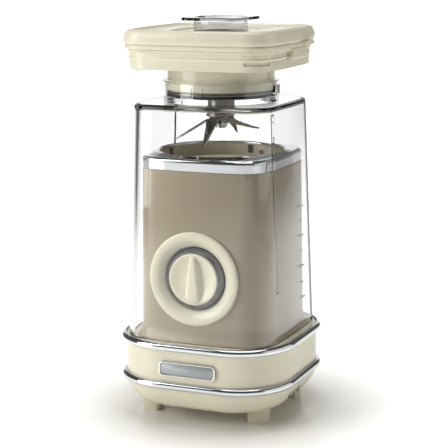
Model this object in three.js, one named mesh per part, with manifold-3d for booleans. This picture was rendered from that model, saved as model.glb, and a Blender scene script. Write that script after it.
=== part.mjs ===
// Countertop blender, put away as it is stored: the clear jar stands mouth-down over the motor
// tower, its blade unit still locked in the neck, and the lid with its measuring cap rests on top.
// Millimetres, +Z up, the knob faces -Y. The origin is on the table, under the middle of the feet.
import * as THREE from 'three';
import { mergeVertices } from 'three/addons/utils/BufferGeometryUtils.js';
import Module from 'manifold-3d';

const wasm = await Module();
wasm.setup();

// ---- driving dimensions --------------------------------------------------------------------

const GAP = 0.3;                 // clearance between pieces that rest on each other
const ROUND = 24;                // sides of a turned piece

const FOOT_HEIGHT = 10.8;         // table to the underside of the base
const FOOT_SPOT = [44.5, 34.5];  // each foot's distance from the middle along X and Y
const BASE_HALF = 67.5;          // half the width of the base shell
const BASE_CORNER = 43;
const BASE_SPLIT = 28.3;         // seam between bottom tray and base shell
const CABLE_HEIGHT = 19;         // middle of the grommet in the back of the tray
const LEDGE = 63;                // top of the base, which the jar's mouth stands on
const SHELL = 2.5;               // moulded wall thickness
const BAND_HALF = 71;            // half the width over the bright trim bands
const BAND_HEIGHT = 6;
const LOWER_BAND = 31;           // height of the middle of each trim band
const UPPER_BAND = 61;
const BADGE = { halfWidth: 23.2, halfHeight: 5.8, centre: 44.5, thick: 1.8 };

const TOWER_TOP = 193.3;         // top of the painted motor tower
const TOWER_HALF = 51.2;         // half its width at the top
const TOWER_CORNER = 20;
const TOWER_SPREAD = 1.5;        // how much wider each side is near the base
const BULGE = 1.2;               // how far the middle of each side of jar and lid bows out
const TOWER_BULGE = 1.4;         // the same for the tower and its ring
const RING_TOP = 204.4;          // crown of the bright ring round the well
const WELL_RADIUS = 47.2;
const WELL_FLOOR = 164;
const PEDESTAL_RADIUS = 39;
const PEDESTAL_TOP = 194.2;

const KNOB_HEIGHT = 112;         // height of the knob's axis
const BEZEL_RADIUS = 36.3;
const BEZEL_FRONT = -55.6;       // foremost plane of the dished bezel
const BEZEL_SEAT = -54.5;        // its lip rests just proud of the painted wall
const KNOB_RADIUS = 21;
const KNOB_FRONT = -56.5;        // foremost point of the finger grip

const JAR_HALF = 60.7;           // half the jar's width at its mouth
const JAR_CORNER = 23;
const JAR_TOP_SCALE = 0.91;      // width at the shoulder over width at the mouth
const JAR_WALL = 2.7;
const SHOULDER = 242.3;          // the jar's own floor, uppermost while it is stored
const NECK_TOP = 258;
const NECK_RADIUS = 44.6;
const NECK_BORE = 42.6;

const COLLAR_RADIUS = 42.2;      // grip collar of the blade unit
const COLLAR_BOTTOM = 250.3;
const COLLAR_TOP = 276;
const COLUMN_RADIUS = 10.3;      // steel bearing column
const BLADE_BASE = 229.4;        // upper face of the blade strips
const BLADE_THICK = 1.4;

const LID_HALF = 60.8;
const LID_CORNER = 21;
const SKIRT_BOTTOM = 268.4;
const SKIRT_HALF = 57.4;
const RIM_BOTTOM = 284.5;
const LID_CROWN = 297.7;
const LID_TOP = 296;             // flat top of the lid, just below its raised rim
const CAP_RADIUS = 20.8;
const CAP_FLANGE = 303.2;

const SHAFT_RADIUS = 4;          // motor and blade shafts
const POST_SPREAD = 33;          // bracket legs and tray screws, along X and Y
const SCREW_HOLE = 2.4;          // radius of the holes for tray screws and tie bolts

// ---- materials -----------------------------------------------------------------------------

const finish = (color, roughness, metalness = 0, opacity = 1) =>
  new THREE.MeshStandardMaterial({ color, roughness, metalness, opacity, transparent: opacity < 1 });

const CREAM = finish(0xe6e1cc, 0.32);
const TAUPE = finish(0xa89c88, 0.25);
const CHROME = finish(0xd9dcdf, 0.06, 1);
const STEEL = finish(0x9b9c9e, 0.28, 1);
const CLEAR = finish(0xf2f6f7, 0.05, 0, 0.25);
const RUBBER = finish(0x3a3936, 0.8);
const BADGE_METAL = finish(0xb9bab8, 0.3, 1);
const IRON = finish(0x6d6f73, 0.45, 1);
const COPPER = finish(0xb06a3a, 0.35, 1);
const BRASS = finish(0xb99b52, 0.35, 1);
const DARK_PLASTIC = finish(0x2b2c2e, 0.5);
const ALLOY = finish(0xb4b7ba, 0.45, 1);

// ---- solids --------------------------------------------------------------------------------

// A closed geometry as a solid that can be joined and cut.
function solid(geometry) {
  const bare = geometry.index ? geometry.toNonIndexed() : geometry.clone();
  bare.deleteAttribute('normal');
  bare.deleteAttribute('uv');
  const merged = mergeVertices(bare, 1e-4);
  return new wasm.Manifold(new wasm.Mesh({
    numProp: 3,
    vertProperties: new Float32Array(merged.attributes.position.array),
    triVerts: new Uint32Array(merged.index.array),
  }));
}

const join = (first, ...others) => others.reduce((sum, next) => sum.add(next), first);
const cut = (first, ...others) => others.reduce((rest, next) => rest.subtract(next), first);

// A named mesh made of a solid.
function piece(name, body, material) {
  const { vertProperties, triVerts } = body.getMesh();
  const geometry = new THREE.BufferGeometry();
  geometry.setAttribute('position', new THREE.BufferAttribute(vertProperties, 3));
  geometry.setIndex(new THREE.BufferAttribute(triVerts, 1));
  geometry.computeVertexNormals();
  const mesh = new THREE.Mesh(geometry, material);
  mesh.name = name;
  return mesh;
}

// A turned solid. Profile points are [radius, height], either way round; the profile starts and
// ends on the axis or closes on itself.
function turned(profile, sides = ROUND) {
  const points = profile.map(([r, z]) => new THREE.Vector2(r, z));
  if (THREE.ShapeUtils.isClockWise(points)) points.reverse();
  return solid(new THREE.LatheGeometry(points, sides).rotateX(Math.PI / 2));
}

const rod = (radius, bottom, top, sides = ROUND) =>
  turned([[0, bottom], [radius, bottom], [radius, top], [0, top]], sides);

const tube = (outer, inner, bottom, top, sides = ROUND) =>
  turned([[inner, bottom], [outer, bottom], [outer, top], [inner, top], [inner, bottom]], sides);

const block = (low, high) =>
  solid(new THREE.BoxGeometry(high[0] - low[0], high[1] - low[1], high[2] - low[2])
    .translate((low[0] + high[0]) / 2, (low[1] + high[1]) / 2, (low[2] + high[2]) / 2));

// Outline of a rounded square whose straight sides bow out by `bulge` at their middles.
function roundedSquare(half, corner, bulge = 0, cornerSteps = 4) {
  const middle = new THREE.Vector2();
  const reach = half - corner;
  const points = [];
  for (let quarter = 0; quarter < 4; quarter += 1) {
    const turn = quarter * Math.PI / 2;
    for (let step = 0; step <= cornerSteps; step += 1) {
      const angle = (step / cornerSteps) * Math.PI / 2;
      points.push(new THREE.Vector2(reach + corner * Math.cos(angle),
        reach + corner * Math.sin(angle)).rotateAround(middle, turn));
    }
    const bowed = bulge > 0 ? [0.5, 0, -0.5] : [];
    for (const along of bowed) {
      points.push(new THREE.Vector2(along * reach, half + bulge * (1 - along * along))
        .rotateAround(middle, turn));
    }
  }
  return points;
}

// Stretches an outline through stations of [height, scale], from the lowest up.
function tower(outline, stations) {
  const steps = stations.length - 1;
  const geometry = new THREE.ExtrudeGeometry(new THREE.Shape(outline),
    { depth: steps, steps, bevelEnabled: false });
  const spot = geometry.attributes.position;
  for (let i = 0; i < spot.count; i += 1) {
    const [height, scale] = stations[Math.round(spot.getZ(i))];
    spot.setXYZ(i, spot.getX(i) * scale, spot.getY(i) * scale, height);
  }
  return solid(geometry);
}

// The same, with stations of [height, half width].
const squareTower = (half, corner, bulge, stations) =>
  tower(roundedSquare(half, corner, bulge), stations.map(([z, h]) => [z, h / half]));

// A turned solid whose axis runs along Y; profile points are [radius, y].
const faced = (profile, height, sides = ROUND) =>
  turned(profile.map(([r, y]) => [r, -y]), sides).rotate([90, 0, 0]).translate([0, 0, height]);

const around = (count, make) =>
  Array.from({ length: count }, (_, i) => make((i * 360) / count));

// ---- base ----------------------------------------------------------------------------------

const baseOutline = (stations) => squareTower(BASE_HALF, BASE_CORNER, 0, stations);

function bottomTray() {
  const outside = baseOutline([[FOOT_HEIGHT, 57], [13.8, 60.8], [18.4, 64.2], [23, 66.4],
    [BASE_SPLIT - GAP, BASE_HALF]]);
  const inside = baseOutline([[FOOT_HEIGHT + SHELL, 55], [19, 61.8], [BASE_SPLIT + 1, 65.2]]);
  const through = FOOT_HEIGHT + SHELL + 1;
  const vents = [-1, 1].flatMap((side) => [-22, -13, -4].map((y) =>
    block([side * 64 - 8, y, 15.5], [side * 64 + 8, y + 2.8, 24])));
  const grille = [-10, 0, 10].map((x) => block([x - 1.6, -18, 0], [x + 1.6, 18, through]));
  const footHoles = cornerSpots(...FOOT_SPOT).map(([x, y]) => rod(3.4, 0, through, 10).translate([x, y, 0]));
  const screwHoles = cornerSpots(POST_SPREAD)
    .map(([x, y]) => rod(SCREW_HOLE, 0, through, 8).translate([x, y, 0]));
  const cableHole = rod(4.6, 0, 30, 12).rotate([-90, 0, 0]).translate([0, 50, CABLE_HEIGHT]);
  const grommetSeat = rod(7, 0, 9, 12).rotate([-90, 0, 0]).translate([0, 65.7, CABLE_HEIGHT]);
  return cut(outside, inside, ...vents, ...grille, ...footHoles, ...screwHoles, cableHole, grommetSeat);
}

// The four points at a distance along X and Y from the middle, front left first.
const cornerSpots = (along, across = along) =>
  [[-1, -1], [1, -1], [1, 1], [-1, 1]].map(([x, y]) => [x * along, y * across]);

function baseShell() {
  const outside = baseOutline([[BASE_SPLIT, BASE_HALF], [LEDGE - 1, BASE_HALF], [LEDGE, BASE_HALF - 1]]);
  const inside = baseOutline([[BASE_SPLIT - 1, BASE_HALF - SHELL], [LEDGE - 3, BASE_HALF - SHELL]]);
  const mouth = squareTower(48, 18, 0, [[LEDGE - 5, 48], [LEDGE + 1, 48]]);
  return cut(outside, inside, mouth);
}

// A bright half-round band, sprung round the base shell.
function trimBand(middle) {
  const reach = BAND_HEIGHT / 2;
  const inner = BASE_HALF + GAP;
  const bow = [-1, -0.7, 0, 0.7, 1].map((t) =>
    [middle + reach * t, inner + 0.9 + (BAND_HALF - inner - 0.9) * Math.sqrt(1 - t * t)]);
  const bore = squareTower(inner, BASE_CORNER + GAP, 0,
    [[middle - reach - 1, inner], [middle + reach + 1, inner]]);
  return cut(squareTower(BAND_HALF, 46, 0, bow), bore);
}

function badgePlate() {
  const { halfWidth, halfHeight, centre, thick } = BADGE;
  const plate = (inset, depth) => {
    const outline = new THREE.Shape(roundedRectangle(halfWidth - inset, halfHeight - inset, 3.6 - inset));
    return solid(new THREE.ExtrudeGeometry(outline, { depth, bevelEnabled: false }))
      .rotate([90, 0, 0]);
  };
  const back = -BASE_HALF - GAP;
  const field = plate(1.5, 1).translate([0, back - thick + 0.7, centre]);
  return cut(plate(0, thick).translate([0, back, centre]), field);
}

function roundedRectangle(halfWidth, halfHeight, corner, steps = 4) {
  const points = [];
  for (const [turn, x, y] of [[0, 1, 1], [1, -1, 1], [2, -1, -1], [3, 1, -1]]) {
    for (let step = 0; step <= steps; step += 1) {
      const angle = (turn + step / steps) * Math.PI / 2;
      points.push(new THREE.Vector2(x * (halfWidth - corner) + corner * Math.cos(angle),
        y * (halfHeight - corner) + corner * Math.sin(angle)));
    }
  }
  return points;
}

// A rubber foot with a barbed stem through the tray.
const foot = (x, y) => turned([[0, 0], [6.4, 0], [6.9, 1], [7.4, FOOT_HEIGHT - GAP],
  [3, FOOT_HEIGHT - GAP], [3, FOOT_HEIGHT + 5.5], [0, FOOT_HEIGHT + 5.5]], 14).translate([x, y, 0]);

const trayScrew = (x, y) => turned([[0, 8.6], [3.8, 8.6], [3.8, FOOT_HEIGHT - GAP], [2, FOOT_HEIGHT - GAP],
  [2, 24], [0, 24]], 8).translate([x, y, 0]);

// The hollow grommet that a mains lead would leave the tray through.
const cableGrommet = () => turned([[2.6, 0], [4.2, 0], [4.2, 6.4], [6.6, 6.4], [6.6, 9.5], [2.6, 9.5],
  [2.6, 0]], 12).rotate([-90, 0, 0]).translate([0, 59.6, CABLE_HEIGHT]);

function baseParts() {
  return [
    piece('bottom_tray', bottomTray(), CREAM),
    piece('base_shell', baseShell(), CREAM),
    piece('trim_band_lower', trimBand(LOWER_BAND), CHROME),
    piece('trim_band_upper', trimBand(UPPER_BAND), CHROME),
    piece('badge_plate', badgePlate(), BADGE_METAL),
    piece('cable_grommet', cableGrommet(), RUBBER),
    ...cornerSpots(...FOOT_SPOT).map(([x, y], i) => piece(`foot_${i + 1}`, foot(x, y), RUBBER)),
    ...cornerSpots(POST_SPREAD).map(([x, y], i) => piece(`tray_screw_${i + 1}`, trayScrew(x, y), STEEL)),
  ];
}

// ---- motor tower ---------------------------------------------------------------------------

const towerOutline = (stations) => squareTower(TOWER_HALF, TOWER_CORNER, TOWER_BULGE, stations);

// A painted sleeve, open below and above, with a round hole for the knob's surround.
function motorTower() {
  const wide = TOWER_HALF + TOWER_SPREAD;
  const outside = towerOutline([[LEDGE + GAP, 56.2], [LEDGE + 2, 55], [LEDGE + 5, 53.6],
    [LEDGE + 10, wide], [TOWER_TOP, TOWER_HALF]]);
  const inside = towerOutline([[LEDGE - 1, wide - SHELL], [LEDGE + 10, wide - SHELL],
    [TOWER_TOP + 1, TOWER_HALF - SHELL]]);
  const bezelHole = faced([[0, -60], [33, -60], [33, -40], [0, -40]], KNOB_HEIGHT);
  return cut(outside, inside, bezelHole);
}

// The polished ring round the well: soft outside shoulder, round bore.
function topRing() {
  const low = TOWER_TOP + GAP;
  const rise = RING_TOP - low;
  const outside = towerOutline([[low, TOWER_HALF], [low + rise * 0.55, TOWER_HALF],
    [low + rise * 0.78, TOWER_HALF - 1.2], [RING_TOP, TOWER_HALF - 3.6]]);
  return cut(outside, rod(WELL_RADIUS, low - 1, RING_TOP + 1, 36));
}

// The well that the jar's neck drops into in use, with a slot for each bayonet lug.
function wellCup() {
  const top = TOWER_TOP;
  const wall = cut(rod(WELL_RADIUS + 1.9, WELL_FLOOR - 2, top, 36),
    rod(WELL_RADIUS, WELL_FLOOR, top + 1, 36), rod(30, 0, top, 24));
  const slots = around(4, (angle) => block([WELL_RADIUS - 3, -3, 178], [WELL_RADIUS + 5, 3, top + 1])
    .rotate([0, 0, angle]));
  const pinHole = rod(2.8, 100, WELL_FLOOR + 1, 12).translate(pinSpot());
  return cut(wall, ...slots, pinHole);
}

// Where the interlock pin stands in the floor of the well.
const pinSpot = () => {
  const angle = (64 * Math.PI) / 180;
  return [43.1 * Math.cos(angle), 43.1 * Math.sin(angle), 0];
};

// The raised middle of the well, hollow below, with a recess for the drive coupling.
function drivePedestal() {
  return turned([[6, 177], [13.5, 177], [13.5, PEDESTAL_TOP],
    [PEDESTAL_RADIUS - 2, PEDESTAL_TOP], [PEDESTAL_RADIUS, PEDESTAL_TOP - 2],
    [PEDESTAL_RADIUS, WELL_FLOOR + GAP], [PEDESTAL_RADIUS - SHELL, WELL_FLOOR + GAP],
    [PEDESTAL_RADIUS - SHELL, PEDESTAL_TOP - SHELL], [16, PEDESTAL_TOP - SHELL],
    [16, 174.5], [6, 174.5], [6, 177]], 32);
}

function towerParts() {
  return [
    piece('motor_tower', motorTower(), TAUPE),
    piece('top_ring', topRing(), CHROME),
    piece('well_cup', wellCup(), TAUPE),
    piece('drive_pedestal', drivePedestal(), CREAM),
  ];
}

// ---- motor ---------------------------------------------------------------------------------

const BRACKET_BOTTOM = 44;
const UPPER_BRACKET = 122;
const CORE = { low: 76, high: 108, half: 32, bore: 18.2 };

function lowerBracket() {
  const plate = squareTower(40, 8, 0, [[BRACKET_BOTTOM, 40], [BRACKET_BOTTOM + 3, 40]]);
  const hub = rod(13, BRACKET_BOTTOM, BRACKET_BOTTOM + 9, 20);
  const legs = cornerSpots(POST_SPREAD).map(([x, y]) =>
    rod(4.5, FOOT_HEIGHT + SHELL + GAP, BRACKET_BOTTOM + 1, 10).translate([x, y, 0]));
  const threads = cornerSpots(POST_SPREAD).map(([x, y]) => rod(SCREW_HOLE, 0, 26, 8).translate([x, y, 0]));
  const seat = rod(11.3, BRACKET_BOTTOM + 2, BRACKET_BOTTOM + 12, 20);
  const boltHoles = boltSpots().map(([x, y]) => rod(SCREW_HOLE, 40, 50, 8).translate([x, y, 0]));
  return cut(join(plate, hub, ...legs), rod(6, 0, 90, 16), seat, ...threads, ...boltHoles);
}

const boltSpots = () => [[27, 27], [-27, -27]];

function upperBracket() {
  const plate = squareTower(32, 8, 0, [[UPPER_BRACKET, 32], [UPPER_BRACKET + 3, 32]]);
  const hub = rod(13, UPPER_BRACKET, UPPER_BRACKET + 9, 20);
  const seat = rod(11.3, UPPER_BRACKET + 2, UPPER_BRACKET + 12, 20);
  const windows = around(4, (angle) => block([17, -7, 110], [27, 7, 140]).rotate([0, 0, angle]));
  const boltHoles = boltSpots().map(([x, y]) => rod(SCREW_HOLE, 110, 140, 8).translate([x, y, 0]));
  return cut(join(plate, hub), rod(6, 0, 180, 16), seat, ...windows, ...boltHoles);
}

const bearing = (bottom) => tube(11, SHAFT_RADIUS + GAP, bottom, bottom + 6.5, 20);

function statorCore() {
  const boltHoles = boltSpots().map(([x, y]) => rod(SCREW_HOLE, 60, 120, 8).translate([x, y, 0]));
  return cut(squareTower(CORE.half, 6, 0, [[CORE.low, CORE.half], [CORE.high, CORE.half]]),
    rod(CORE.bore, CORE.low - 1, CORE.high + 1), ...boltHoles);
}

const fieldCoil = (bottom) => turned([[19.5, bottom], [27, bottom], [28, bottom + 1.5], [28, bottom + 4.5],
  [27, bottom + 6], [19.5, bottom + 6], [19.5, bottom]], 24);

// The rotor's core between its two winding ends.
function armature() {
  const bore = SHAFT_RADIUS + GAP;
  const winding = 15.5;
  const core = CORE.bore - 2 * GAP;
  return turned([[bore, 70], [14, 70], [winding, 73], [winding, CORE.low], [core, CORE.low],
    [core, CORE.high], [winding, CORE.high], [winding, 111], [14, 114], [bore, 114], [bore, 70]], 24);
}

const brush = (side) =>
  block([Math.min(side * 12, side * 30), -4, 58], [Math.max(side * 12, side * 30), 4, 67]);

const tieBolt = ([x, y]) => turned([[0, 40.5], [4, 40.5], [4, BRACKET_BOTTOM - GAP],
  [2, BRACKET_BOTTOM - GAP], [2, 130], [0, 130]], 8).translate([x, y, 0]);

function coolingFan() {
  const hub = tube(9, SHAFT_RADIUS + GAP, 28, 39, 20);
  const disc = tube(31, SHAFT_RADIUS + GAP, 37, 39, 28);
  const vanes = around(7, (angle) => block([7.5, -0.8, 29], [30.5, 0.8, 38]).rotate([0, 0, angle]));
  return join(hub, disc, ...vanes);
}

// A six-lobed drive dog on the end of the motor shaft.
function driveCoupling() {
  const lobes = around(6, (angle) => rod(2, 180, 189, 8).translate([5.2, 0, 0]).rotate([0, 0, angle]));
  const body = join(rod(5.4, 180, 189, 18), ...lobes, rod(10, 177.5, 181, 24));
  return cut(body, rod(SHAFT_RADIUS + GAP, 170, 186, 16));
}

function motorParts() {
  return [
    piece('lower_bracket', lowerBracket(), ALLOY),
    piece('upper_bracket', upperBracket(), ALLOY),
    piece('lower_bearing', bearing(BRACKET_BOTTOM + 2 + GAP), STEEL),
    piece('upper_bearing', bearing(UPPER_BRACKET + 2 + GAP), STEEL),
    piece('stator_core', statorCore(), IRON),
    piece('field_coil_upper', fieldCoil(CORE.high + GAP), COPPER),
    piece('field_coil_lower', fieldCoil(CORE.low - 6 - GAP), COPPER),
    piece('brush_left', brush(-1), DARK_PLASTIC),
    piece('brush_right', brush(1), DARK_PLASTIC),
    ...boltSpots().map((spot, i) => piece(`tie_bolt_${i + 1}`, tieBolt(spot), STEEL)),
    piece('armature', armature(), IRON),
    piece('commutator', tube(11, SHAFT_RADIUS + GAP, 56, 69, 24), COPPER),
    piece('motor_shaft', rod(SHAFT_RADIUS, 25, 185.5, 16), STEEL),
    piece('cooling_fan', coolingFan(), DARK_PLASTIC),
    piece('drive_coupling', driveCoupling(), DARK_PLASTIC),
  ];
}

// ---- switch and knob -----------------------------------------------------------------------

// A dished surround: raised round lip, sloping dish, flat seat with the spindle hole.
const knobBezel = () => faced([[5, -46.5], [26, -46.5], [32, -51.6], [33.6, BEZEL_FRONT],
  [BEZEL_RADIUS, BEZEL_FRONT], [BEZEL_RADIUS, BEZEL_SEAT], [32.6, BEZEL_SEAT],
  [32.6, -50.4], [27, -44], [5, -44], [5, -46.5]], KNOB_HEIGHT, 32);

const knobRing = () => faced([[22, -46.8], [25.4, -46.8], [25.4, -50.2], [24.4, -51.4],
  [22, -50], [22, -46.8]], KNOB_HEIGHT, 32);

// A disc with a tapered finger grip: broad at the tail, narrow at the pointer.
function knob() {
  const disc = faced([[0, -47], [KNOB_RADIUS, -47], [KNOB_RADIUS, -50], [KNOB_RADIUS - 1.5, -51.6],
    [0, -51.6]], KNOB_HEIGHT, 28);
  const grip = new THREE.Shape([[-9.5, -17], [9.5, -17], [6.4, 2], [3.6, 18.4], [-3.6, 18.4], [-6.4, 2]]
    .map(([x, z]) => new THREE.Vector2(x, z)));
  const ridge = solid(new THREE.ExtrudeGeometry(grip, {
    depth: -KNOB_FRONT - 51, bevelEnabled: true, bevelThickness: 1, bevelSize: 1, bevelOffset: -1,
    bevelSegments: 1,
  })).rotate([90, 0, 0]).translate([0, -50, KNOB_HEIGHT]);
  const bore = faced([[0, -49.5], [3.3, -49.5], [3.3, -40], [0, -40]], KNOB_HEIGHT, 12);
  return cut(join(disc, ridge), bore);
}

function knobParts() {
  return [
    piece('knob_bezel', knobBezel(), CREAM),
    piece('knob_ring', knobRing(), CHROME),
    piece('knob', knob(), CREAM),
    piece('knob_spindle', faced([[0, -49.2], [3, -49.2], [3, -38], [0, -38]], KNOB_HEIGHT, 12), BRASS),
    piece('rotary_switch',
      block([-16, -37.7, KNOB_HEIGHT - 14], [16, -33.8, KNOB_HEIGHT + 14]), DARK_PLASTIC),
  ];
}

// The plunger that only lets the motor run with the jar locked in the well.
function interlockParts() {
  const spot = pinSpot();
  const pin = turned([[0, 152], [2.4, 152], [2.4, 171], [1.6, 172], [0, 172]], 12);
  const box = block([-6, -4, 138], [6, 4, 148]);
  return [
    piece('interlock_pin', pin.translate(spot), DARK_PLASTIC),
    piece('interlock_switch', box.translate([spot[0] * 0.93, spot[1] * 0.93, 0]), DARK_PLASTIC),
  ];
}

// ---- jar -----------------------------------------------------------------------------------

function jar() {
  const mouth = LEDGE + GAP;
  const shoulderHalf = JAR_HALF * JAR_TOP_SCALE;
  const jarOutline = (stations) => squareTower(JAR_HALF, JAR_CORNER, BULGE, stations);
  const outside = jarOutline([[mouth, JAR_HALF], [SHOULDER - 6, shoulderHalf + 0.2],
    [SHOULDER - 1.6, shoulderHalf - 0.6], [SHOULDER, shoulderHalf - 2.4]]);
  const inside = jarOutline([[mouth - 1, JAR_HALF - JAR_WALL],
    [SHOULDER - 6, shoulderHalf + 0.2 - JAR_WALL], [SHOULDER - 3, shoulderHalf - 4.6]]);
  const neck = rod(NECK_RADIUS, SHOULDER - 2, NECK_TOP, 36);
  const lugs = around(4, (angle) => block([NECK_RADIUS - 1, -4.5, 250], [NECK_RADIUS + 2, 4.5, 256.5])
    .rotate([0, 0, angle]));
  const seat = rod(NECK_BORE, 246, NECK_TOP + 1, 36);
  const throat = rod(37.5, SHOULDER - 8, NECK_TOP, 36);
  const ribs = [-1, 1].map((side) => block([side * 30 - 9, -62.9, 78], [side * 30 + 9, -60.1, 80]));
  return join(cut(join(outside, neck, ...lugs), inside, seat, throat), ...ribs);
}

// ---- blade unit ----------------------------------------------------------------------------

// The grip collar: an open cup with a turned-in foot and two stepped grip panels.
function bladeCollar() {
  const cup = turned([[30, COLLAR_BOTTOM], [40.8, COLLAR_BOTTOM], [COLLAR_RADIUS, COLLAR_BOTTOM + 1.6],
    [COLLAR_RADIUS, COLLAR_TOP], [39.4, COLLAR_TOP],
    [39.4, COLLAR_BOTTOM + 1.4], [30, COLLAR_BOTTOM + 1.4], [30, COLLAR_BOTTOM]], 36);
  const grips = around(4, (angle) => block([COLLAR_RADIUS - 0.8, -5, NECK_TOP + 1],
    [COLLAR_RADIUS + 3, 5, COLLAR_TOP + 1]).rotate([0, 0, angle + 45]));
  return cut(cup, ...grips);
}

// One bent arm of a blade strip, pointing along +X before it is turned.
function bladeArm(length, droop, twist) {
  const root = 5.2;
  const tip = 1.6;
  const teeth = 6;
  const edge = [];
  for (let tooth = 0; tooth < teeth; tooth += 1) {
    const along = 8 + ((length - 12) * tooth) / teeth;
    const across = root + ((tip - root) * tooth) / teeth;
    edge.push([along, -across], [along + (length - 12) / teeth - 0.6, -across + 0.9]);
  }
  const outline = [[-3, -root], [4, -root], ...edge, [length, 0.4], [length - 6, tip + 1],
    [4, root], [-3, root]];
  const shape = new THREE.Shape(outline.map(([x, y]) => new THREE.Vector2(x, y)));
  const plate = solid(new THREE.ExtrudeGeometry(shape, { depth: BLADE_THICK, bevelEnabled: false }));
  return plate.rotate([twist, 0, 0]).rotate([0, droop, 0]);
}

// Two arms forged from one strip, with a disc at the middle that the nut clamps.
function bladeStrip(top, hub, arms) {
  const disc = rod(hub, top - BLADE_THICK, top, 20);
  const bent = arms.map(({ heading, length, droop, twist }) =>
    bladeArm(length, droop, twist).translate([hub, 0, top - BLADE_THICK]).rotate([0, 0, heading]));
  const bore = rod(SHAFT_RADIUS + GAP, top - 12, top + 12, 16);
  const above = rod(12.4, top, top + 12, 20);
  const below = rod(hub - 0.4, top - 14, top - BLADE_THICK, 20);
  return cut(join(disc, ...bent), bore, above, below);
}

// The steel disc that the collar clamps down, with the bearing column through it.
const bladeCarrier = () => turned([[7.6, 236], [COLUMN_RADIUS, 236], [COLUMN_RADIUS, 248.1], [41.8, 248.1],
  [41.8, 250], [COLUMN_RADIUS - 0.6, 250], [COLUMN_RADIUS - 0.6, 254], [7.6, 254], [7.6, 236]], 32);

// A hexagon nut with a round hole.
const nut = (radius, bore, bottom, top) =>
  cut(rod(radius, bottom, top, 6), rod(bore, bottom - 1, top + 1, 16));

function bladeParts() {
  const boss = turned([[SHAFT_RADIUS + GAP, BLADE_BASE + GAP], [11.4, BLADE_BASE + GAP], [11.4, 234.2],
    [10.2, 235.6], [SHAFT_RADIUS + GAP, 235.6], [SHAFT_RADIUS + GAP, BLADE_BASE + GAP]], 24);
  const upper = bladeStrip(BLADE_BASE, 9, [
    { heading: -90, length: 31, droop: 39, twist: 12 }, { heading: 90, length: 31, droop: 39, twist: 12 }]);
  const lower = bladeStrip(BLADE_BASE - BLADE_THICK - GAP, 7.2, [
    { heading: 180, length: 34, droop: 40, twist: 4 }, { heading: 0, length: 27, droop: 13, twist: -32 }]);
  const nutTop = BLADE_BASE - 2 * (BLADE_THICK + GAP);
  return {
    carrier: [
      piece('blade_carrier', bladeCarrier(), STEEL),
      piece('collar_seal', tube(41.8, 37.9, 246.3, 247.8, 32), RUBBER),
      piece('column_nut', nut(15, COLUMN_RADIUS, 250.3, 253.6), STEEL),
      piece('blade_bush', tube(7.3, SHAFT_RADIUS + GAP, 236.4, 253.8, 20), BRASS),
    ],
    collar: [piece('blade_collar', bladeCollar(), CREAM)],
    spinning: [
      piece('blade_shaft', rod(SHAFT_RADIUS, 220.6, 260, 16), STEEL),
      piece('blade_boss', boss, STEEL),
      piece('blade_strip_upper', upper, STEEL),
      piece('blade_strip_lower', lower, STEEL),
      piece('blade_nut', nut(6.4, SHAFT_RADIUS + GAP, nutTop - 4, nutTop), STEEL),
      piece('driven_coupling', drivenCoupling(), DARK_PLASTIC),
    ],
  };
}

// The socket that drops over the drive dog when the jar is seated.
function drivenCoupling() {
  const fingers = around(6, (angle) => block([8.2, -1.6, 259], [11, 1.6, 263.5]).rotate([0, 0, angle]));
  const body = join(rod(11, 254.3, 260, 24), ...fingers);
  return cut(body, rod(SHAFT_RADIUS + GAP, 250, 270, 16), rod(7.6, 260.4, 270, 20));
}

// ---- lid -----------------------------------------------------------------------------------

const lidOutline = (stations) => squareTower(LID_HALF, LID_CORNER, BULGE, stations);

function lid() {
  const rim = lidOutline([[RIM_BOTTOM, 59.6], [RIM_BOTTOM + 1.6, 60.6], [289.5, LID_HALF], [293.5, 60],
    [296.2, 58.4], [LID_CROWN, 55.8]]);
  const skirt = lidOutline([[SKIRT_BOTTOM, SKIRT_HALF - 0.6], [RIM_BOTTOM + 1, SKIRT_HALF]]);
  const pan = lidOutline([[LID_TOP, 53], [LID_CROWN + 0.1, 54.4]]);
  const hollow = lidOutline([[SKIRT_BOTTOM - 1, SKIRT_HALF - 3], [LID_TOP - SHELL - 1, SKIRT_HALF - 3]]);
  const capSeat = squareTower(31, 9, 0, [[LID_TOP - 1.2, 31], [LID_TOP + 1, 31]]);
  const ribs = [0, 90].map((angle) => block([-55.5, -1.2, COLLAR_TOP + GAP], [55.5, 1.2, LID_TOP - SHELL])
    .rotate([0, 0, angle]));
  const sleeve = rod(CAP_RADIUS + 2.4, COLLAR_TOP + GAP, LID_TOP - SHELL, 24);
  const capHole = rod(CAP_RADIUS + 0.5, 200, 320, 28);
  const latches = [-1, 1].map((side) => block(
    [Math.min(side * 56, side * 59.8), -5, 272], [Math.max(side * 56, side * 59.8), 28, 280.4]));
  const tab = block([56, 14, RIM_BOTTOM + 0.3], [65.6, 30, RIM_BOTTOM + 2.6]);
  const shell = join(cut(join(rim, skirt), pan, hollow, capSeat), ...ribs, sleeve, ...latches, tab);
  return cut(shell, capHole, pourRecess());
}

// A shallow panel pressed into the skirt's front right corner.
function pourRecess() {
  const low = 272.8;
  const high = 278.2;
  const outer = lidOutline([[low, SKIRT_HALF + 3], [high, SKIRT_HALF + 3]]);
  const inner = lidOutline([[low - 1, SKIRT_HALF - 1.2], [high + 1, SKIRT_HALF - 1.2]]);
  const wedge = block([20, -11.5, low - 1], [90, 11.5, high + 1]).rotate([0, 0, -45]);
  return cut(outer, inner).intersect(wedge);
}

function lidGasket() {
  const low = RIM_BOTTOM - 3.6;
  const high = RIM_BOTTOM - GAP;
  return cut(lidOutline([[low, 58.8], [high, 58.8]]),
    lidOutline([[low - 1, SKIRT_HALF + GAP], [high + 1, SKIRT_HALF + GAP]]));
}

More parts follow.
